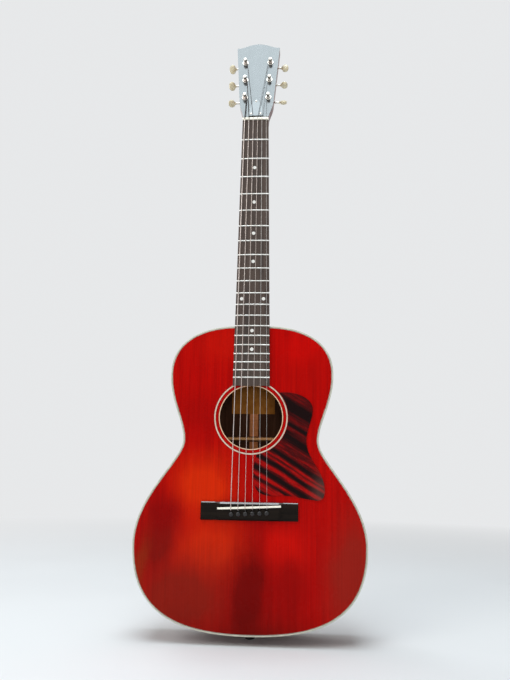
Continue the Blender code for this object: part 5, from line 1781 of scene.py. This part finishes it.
    def thread(self, place: Matrix) -> list[list[Point]]:
        """Rings of the worm's thread, which fades out at both ends.

        Args:
            place: the key's axes, X outwards.

        Returns:
            The rings.
        """
        count, rings = self.thread_steps * self.thread_turns, []
        low = self.worm_core - self.thread_foot
        rise = self.worm_tip - self.worm_core + self.thread_sunk
        foot, crest = self.thread_halves
        for step in range(count + 1):
            sweep = 2.0 * math.pi * (step / self.thread_steps - self.thread_turns / 2.0)
            middle = self.module * math.pi * sweep / (2.0 * math.pi)
            cosine, sine = math.cos(math.pi + sweep), math.sin(math.pi + sweep)
            fade = min(1.0, 6.0 * min(step, count - step) / self.thread_steps)
            tip = self.worm_core - self.thread_sunk + rise * max(fade, 0.15)
            section = ((low, -foot), (tip, -crest), (tip, crest), (low, foot))
            rings.append([tuple(place @ Vector((middle + shift, radius * cosine, radius * sine)))
                          for radius, shift in section])
        return rings

    def key(self, index: int) -> None:
        """Shaft with its worm, and the button on its end.

        Args:
            index: the string, 0 for the bass.
        """
        place = HEAD.machine(index) @ Matrix.Translation((0.0, self.axis_gap(), self.worm_level))
        along = place @ Matrix.Rotation(math.radians(90.0), 4, "Y")
        worm, core, shaft = self.worm_half, self.worm_core, self.shaft
        profile = ((0.0008, -0.0068), (0.0014, -0.0068), (shaft, -0.0066), (shaft, -worm),
                   (core, -worm), (core, worm), (shaft, worm), (shaft, 0.0098), (0.0020, 0.0100),
                   (0.0022, 0.0110), (0.0020, 0.0120), (shaft, 0.0122), (shaft, 0.0178))
        shape = Shape().loft(turned(profile, 24, along)).loft(self.thread(place))
        body, node = numbered("key", index), numbered("tuner_key", index)
        mount(shape.piece(body + "_worm_shaft", [NICKEL], 38.0), body, [node])
        button = self.button(index, place).piece(body + "_button", [CREAM_BUTTON], 50.0)
        mount(button, body, [node])

    def strip_screws(self) -> None:
        """Four small screws through each strip."""
        for name, index in (("bass", 1), ("treble", 4)):
            for number, (across, along) in enumerate(self.strip_holes, start=1):
                place = HEAD.machine(index) @ Matrix.Translation((across, along, self.strip_back))
                place = place @ Matrix.Rotation(math.pi, 4, "X")
                screw = self.strip_screw.shape(place, 0.8 * number)
                mount(screw.piece("strip_screw_%s_%d" % (name, number), [NICKEL], 40.0), ROOT_BODY)


@dataclass
class Strings:
    """Six strings from their balls to their posts, and their turns on the posts."""

    radii: tuple[float, ...] = (0.00068, 0.00053, 0.00041, 0.00031, 0.00021, 0.00016)
    spread_nut: float = 0.0358
    spread_saddle: float = 0.0544
    saddle_top: float = 0.0128
    saddle_width: float = 0.0030
    nut_height: float = 0.0086
    gap: float = 0.0003
    string_rise: float = 0.0041
    ball_radius: float = 0.0019
    ball_reach: float = 0.0049
    ball_depth: float = 0.0075
    lift: float = 0.0058
    post_neck: float = 0.0027
    turn_counts: tuple[int, ...] = (2, 2, 3, 3, 4, 4)
    turn_steps: int = 24
    tail: tuple[Point, ...] = ((-0.0036, 0.0, 0.0098), (-0.0030, 0.0, 0.0098),
                               (0.0030, 0.0, 0.0098), (0.0042, 0.0002, 0.0097))
    wound: int = 4
    shade_from: float = 0.0005
    sides: int = 14

    def finish(self, index: int) -> Finish:
        """Finish of one string.

        Args:
            index: the string, 0 for the bass.

        Returns:
            A wound finish for the four thick strings and plain steel for the others.
        """
        if index >= self.wound:
            return STRING_STEEL
        name = "wound string %d" % (STRING_COUNT - index)
        # The second colour is the painted shade between the wraps.
        return Winding(name, (0.84, 0.75, 0.70), (0.46, 0.36, 0.31), self.radii[index] * 0.62)

    def route(self, index: int, bridge: Bridge, neck: Neck) -> list[Vector]:
        """Points of one string from its ball up to its post.

        Args:
            index: the string, 0 for the bass.
            bridge: where it starts.
            neck: what it runs over.

        Returns:
            The points.
        """
        radius = self.radii[index]
        pin_x = bridge.string_x(index, bridge.pin_spread)
        pin_z = bridge.slanted(pin_x, bridge.pin_z)
        saddle_x = bridge.string_x(index, self.spread_saddle)
        saddle_y = -self.saddle_top + neck.camber(saddle_x) - self.gap - radius
        nut_x = bridge.string_x(index, self.spread_nut)
        nut_y = -self.nut_height + neck.camber(nut_x) - self.gap - radius
        ball_y, ball_z, ball = self.ball_depth, pin_z + self.ball_reach, self.ball_radius
        saddle_z = bridge.slanted(saddle_x, bridge.saddle_z) - self.saddle_width * 0.62
        post = HEAD.machine(index) @ Vector((-self.post_neck - radius, 0.0, self.lift))
        return [Vector(point) for point in (
            (pin_x, ball_y + ball * 0.9, ball_z), (pin_x, ball_y + ball * 0.5, ball_z),
            (pin_x, ball_y - ball * 0.6, ball_z), (pin_x, ball_y - ball, ball_z - 0.0002),
            (pin_x, 0.0030, pin_z + self.string_rise),
            (pin_x, 0.0010 - bridge.height, pin_z + self.string_rise),
            (saddle_x, saddle_y, saddle_z), (nut_x, nut_y, 0.0010), (nut_x, nut_y, 0.0022),
            tuple(post))]

    def build(self, bridge: Bridge, neck: Neck) -> None:
        """Build the strings and their turns.

        Args:
            bridge: where they start.
            neck: what they run over.
        """
        for index in range(STRING_COUNT):
            route = self.route(index, bridge, neck)
            ball = self.ball_radius
            radii = [ball * 0.6, ball, ball] + [self.radii[index]] * (len(route) - 3)
            shape = Shape().loft(tube(route, radii, self.sides))
            # Past the nut the wire takes the near-black copy: painted shade.
            for number, face in enumerate(shape.faces):
                if min(shape.points[corner][2] for corner in face) > self.shade_from:
                    shape.marks[number] = 1
            finishes = [self.finish(index), HEAD_STRING_SHADE]
            wire = shape.piece(numbered("string_wire", index), finishes, 60.0)
            mount(wire, ROOT_BODY, [numbered("string", index)])
            self.turns(index)

    def turns(self, index: int) -> None:
        """Turns of one string round its post, with the end tucked through the hole.

        Args:
            index: the string, 0 for the bass.
        """
        radius, place, route = self.radii[index], HEAD.machine(index), []
        coil = self.post_neck + radius
        for step in range(self.turn_steps * self.turn_counts[index] + 1):
            angle = math.pi + 2.0 * math.pi * step / self.turn_steps
            level = self.lift - 2.05 * radius * step / self.turn_steps
            route.append(place @ Vector((coil * math.cos(angle), coil * math.sin(angle), level)))
        shape = Shape().loft(tube(route, [radius] * len(route), 10))
        tail = [place @ Vector(point) for point in self.tail]
        shape.loft(tube(tail, [min(radius, 0.0005)] * len(tail), 10))
        coils = shape.piece(numbered("string_turns", index), [self.finish(index)], 60.0)
        mount(coils, numbered("post", index))


@dataclass
class Interior:
    """What shows through the soundhole: blocks, linings, braces, strips and a bare label."""

    label_middle: float = -0.0038
    label_half: float = 0.0362
    label_low: float = -0.4800
    label_high: float = -0.4185
    strip_middle: float = -0.0026
    strip_half: float = 0.0072
    strip_height: float = 0.0013
    back_thickness: float = 0.0026
    strips: tuple[Plan, ...] = ((-0.5175, -0.4095), (-0.6180, -0.5265), (-0.7180, -0.6320),
                                (-0.7880, -0.7320))
    strip_section: tuple[Plan, ...] = ((-1.0, -0.0002), (-0.85, 0.7), (-0.5, 1.0), (0.5, 1.0),
                                       (0.85, 0.7), (1.0, -0.0002))
    strip_rows: int = 4
    paper: float = 0.00012
    paper_lift: float = 0.00015
    paper_over: float = 0.0115
    paper_slope: float = 0.0040
    label_columns: int = 28
    label_rows: int = 6
    bare: tuple[tuple[Finish, tuple[str, ...]], ...] = (
        (RAW_MAHOGANY, ("neck_block", "tail_block", "top_lining_bass", "top_lining_treble",
                        "back_lining_bass", "back_lining_treble", "bridge_plate")),
        (RAW_SPRUCE_UP, ("x_brace", "tone_bar")),
        (LIT_SPRUCE_ACROSS, ("upper_transverse_brace", "back_brace_1", "back_brace_2",
                             "back_brace_3", "back_brace_4")))

    def build(self) -> None:
        """Dress the inner nodes and add the strips and the label."""
        for finish, nodes in self.bare:
            for node in nodes:
                carry(node, finish)
        carry("end_pin", EBONY_PLASTIC, 0.0002)
        for number, (low, high) in enumerate(self.strips, start=1):
            self.strip(number, low, high)
        self.label()

    def floor(self, x: float, z: float) -> float:
        """Depth of the back's inner face."""
        return PLAN.depth(x, z) - self.back_thickness

    def strip(self, number: int, low: float, high: float) -> None:
        """One length of the strip over the back's centre joint.

        Args:
            number: counted from the neck.
            low: its lower end.
            high: its upper end.
        """
        rings = []
        for row in range(self.strip_rows + 1):
            z, ring = low + (high - low) * row / self.strip_rows, []
            for share, rise in self.strip_section:
                x = self.strip_middle + share * self.strip_half
                ring.append((x, self.floor(x, z) - rise * self.strip_height, z))
            rings.append(ring)
        strip = Shape().loft(rings).piece("centre_strip_%d" % number, [STRIP_SPRUCE], 40.0)
        mount(strip, ROOT_BODY)

    def label(self) -> None:
        """Plain paper label that lies on the back and over the strip."""
        rings = []
        for row in range(self.label_rows + 1):
            z = self.label_low + (self.label_high - self.label_low) * row / self.label_rows
            far = []
            for column in range(self.label_columns + 1):
                x = self.label_middle + self.label_half * (2.0 * column / self.label_columns - 1.0)
                over = eased((self.paper_over - abs(x - self.strip_middle)) / self.paper_slope)
                far.append((x, self.floor(x, z) - (self.paper_lift + over * self.strip_height), z))
            rings.append([(x, y - self.paper, z) for x, y, _ in far] + list(reversed(far)))
        mount(Shape().loft(rings).piece("blank_label", [LABEL_PAPER], 40.0), ROOT_BODY)


@dataclass(frozen=True)
class Lamp:
    """Soft rectangular lamp: where it hangs and points, its size, watts and tint."""

    name: str
    place: Point
    aim: Point
    size: Plan
    power: float
    colour: Colour
    mirrored: bool = True

    def hang(self) -> None:
        """Add the lamp, hidden from the camera and, where it isn't mirrored, from reflections."""
        data = bpy.data.lights.new(self.name, "AREA")
        data.shape = "RECTANGLE"
        data.size, data.size_y = self.size
        data.energy = self.power
        data.color = self.colour
        item = bpy.data.objects.new(self.name, data)
        bpy.context.scene.collection.objects.link(item)
        item.location = self.place
        heading = Vector(self.aim) - Vector(self.place)
        item.rotation_euler = heading.to_track_quat("-Z", "Y").to_euler()
        item.visible_camera = False
        item.visible_glossy = self.mirrored


@dataclass
class Studio:
    """Camera, lamps, surroundings and floor."""

    camera_place: Point = (0.0901, -1.1009, -0.5651)
    pitch: float = math.radians(10.0)
    yaw: float = math.radians(-4.446)
    roll: float = math.radians(-0.918)
    lens: float = 37.6
    floor_radius: float = 7.0
    floor_sides: int = 96
    floor_gap: float = 0.0005
    pale: Colour = (0.80, 0.81, 0.82)
    ambient: float = 0.42
    lamps: tuple[Lamp, ...] = (
        Lamp("ceiling_panel", (-0.10, -0.65, 2.05), (-0.10, -0.65, 0.0), (1.5, 2.5), 62.0,
             (0.86, 0.95, 1.0)),
        Lamp("key_panel", (-1.5, -2.0, 0.9), (0.0, 0.0, -0.55), (1.2, 1.2), 20.0,
             (1.0, 0.97, 0.93)),
        Lamp("fill_panel", (0.35, -2.8, -0.30), (0.0, 0.0, -0.50), (0.8, 0.8), 16.0,
             (1.0, 0.97, 0.93), mirrored=False),
        Lamp("rear_panel", (-1.8, 2.2, 0.9), (0.0, 0.0, -0.4), (1.6, 1.6), 18.0, (1.0, 1.0, 1.0)),
    )

    def build(self) -> None:
        """Set the whole stage."""
        bpy.context.scene.view_settings.view_transform = "Standard"
        self.camera()
        for lamp in self.lamps:
            lamp.hang()
        self.world()
        self.floor()

    def camera(self) -> None:
        """Camera at the photograph's place, looking slightly up."""
        level, rise = math.cos(self.pitch), math.sin(self.pitch)
        forward = Vector((math.sin(self.yaw) * level, math.cos(self.yaw) * level, rise))
        right = Vector((math.cos(self.yaw), -math.sin(self.yaw), 0.0))
        up = right.cross(forward)
        cosine, sine = math.cos(self.roll), math.sin(self.roll)
        across, above = right * cosine - up * sine, right * sine + up * cosine
        data = bpy.data.cameras.new("camera")
        data.lens = self.lens
        camera = bpy.data.objects.new("camera", data)
        bpy.context.scene.collection.objects.link(camera)
        turn = Matrix((across, above, -forward)).transposed().to_4x4()
        camera.matrix_world = Matrix.Translation(self.camera_place) @ turn
        bpy.context.scene.camera = camera

    def world(self) -> None:
        """Pale surroundings to the camera and to reflections, softer as light."""
        world = bpy.data.worlds.new("surroundings")
        bpy.context.scene.world = world
        world.use_nodes = True
        tree = world.node_tree
        path = tree.nodes.new("ShaderNodeLightPath")
        shown = tree.nodes["Background"]
        shown.inputs["Color"].default_value = (*self.pale, 1.0)
        soft = tree.nodes.new("ShaderNodeBackground")
        soft.inputs["Strength"].default_value = self.ambient
        seen = path.outputs["Is Camera Ray"]
        for ray in ("Is Glossy Ray", "Is Transmission Ray"):
            either = tree.nodes.new("ShaderNodeMath")
            either.operation = "MAXIMUM"
            tree.links.new(seen, either.inputs[0])
            tree.links.new(path.outputs[ray], either.inputs[1])
            seen = either.outputs[0]
        blend = tree.nodes.new("ShaderNodeMixShader")
        tree.links.new(seen, blend.inputs[0])
        tree.links.new(soft.outputs[0], blend.inputs[1])
        tree.links.new(shown.outputs[0], blend.inputs[2])
        tree.links.new(blend.outputs[0], tree.nodes["World Output"].inputs["Surface"])

    def floor(self) -> None:
        """Pale floor under the guitar that runs out into the surroundings."""
        level, shape = CAD_BOX[0][2] - self.floor_gap, Shape()
        rim = circle((0.0, 0.0), self.floor_radius, self.floor_sides)
        shape.points = [(x, y, level) for x, y in rim]
        shape.faces, shape.marks = [tuple(range(self.floor_sides))], [0]
        floor = shape.piece("floor", [FLOOR], 30.0)
        log.info("stage is set")


def main() -> None:
    """Build the sub-assemblies in order and report each piece."""
    logging.basicConfig(level=logging.INFO, format="%(name)s: %(message)s")
    Studio().build()
    BodyShell().build()
    Rosette().build()
    Pickguard().build()
    bridge, neck = Bridge(), Neck()
    bridge.build()
    neck.build()
    Head().build()
    TuningMachines().build()
    Strings().build(bridge, neck)
    Interior().build()


if __name__ == "__main__":
    main()
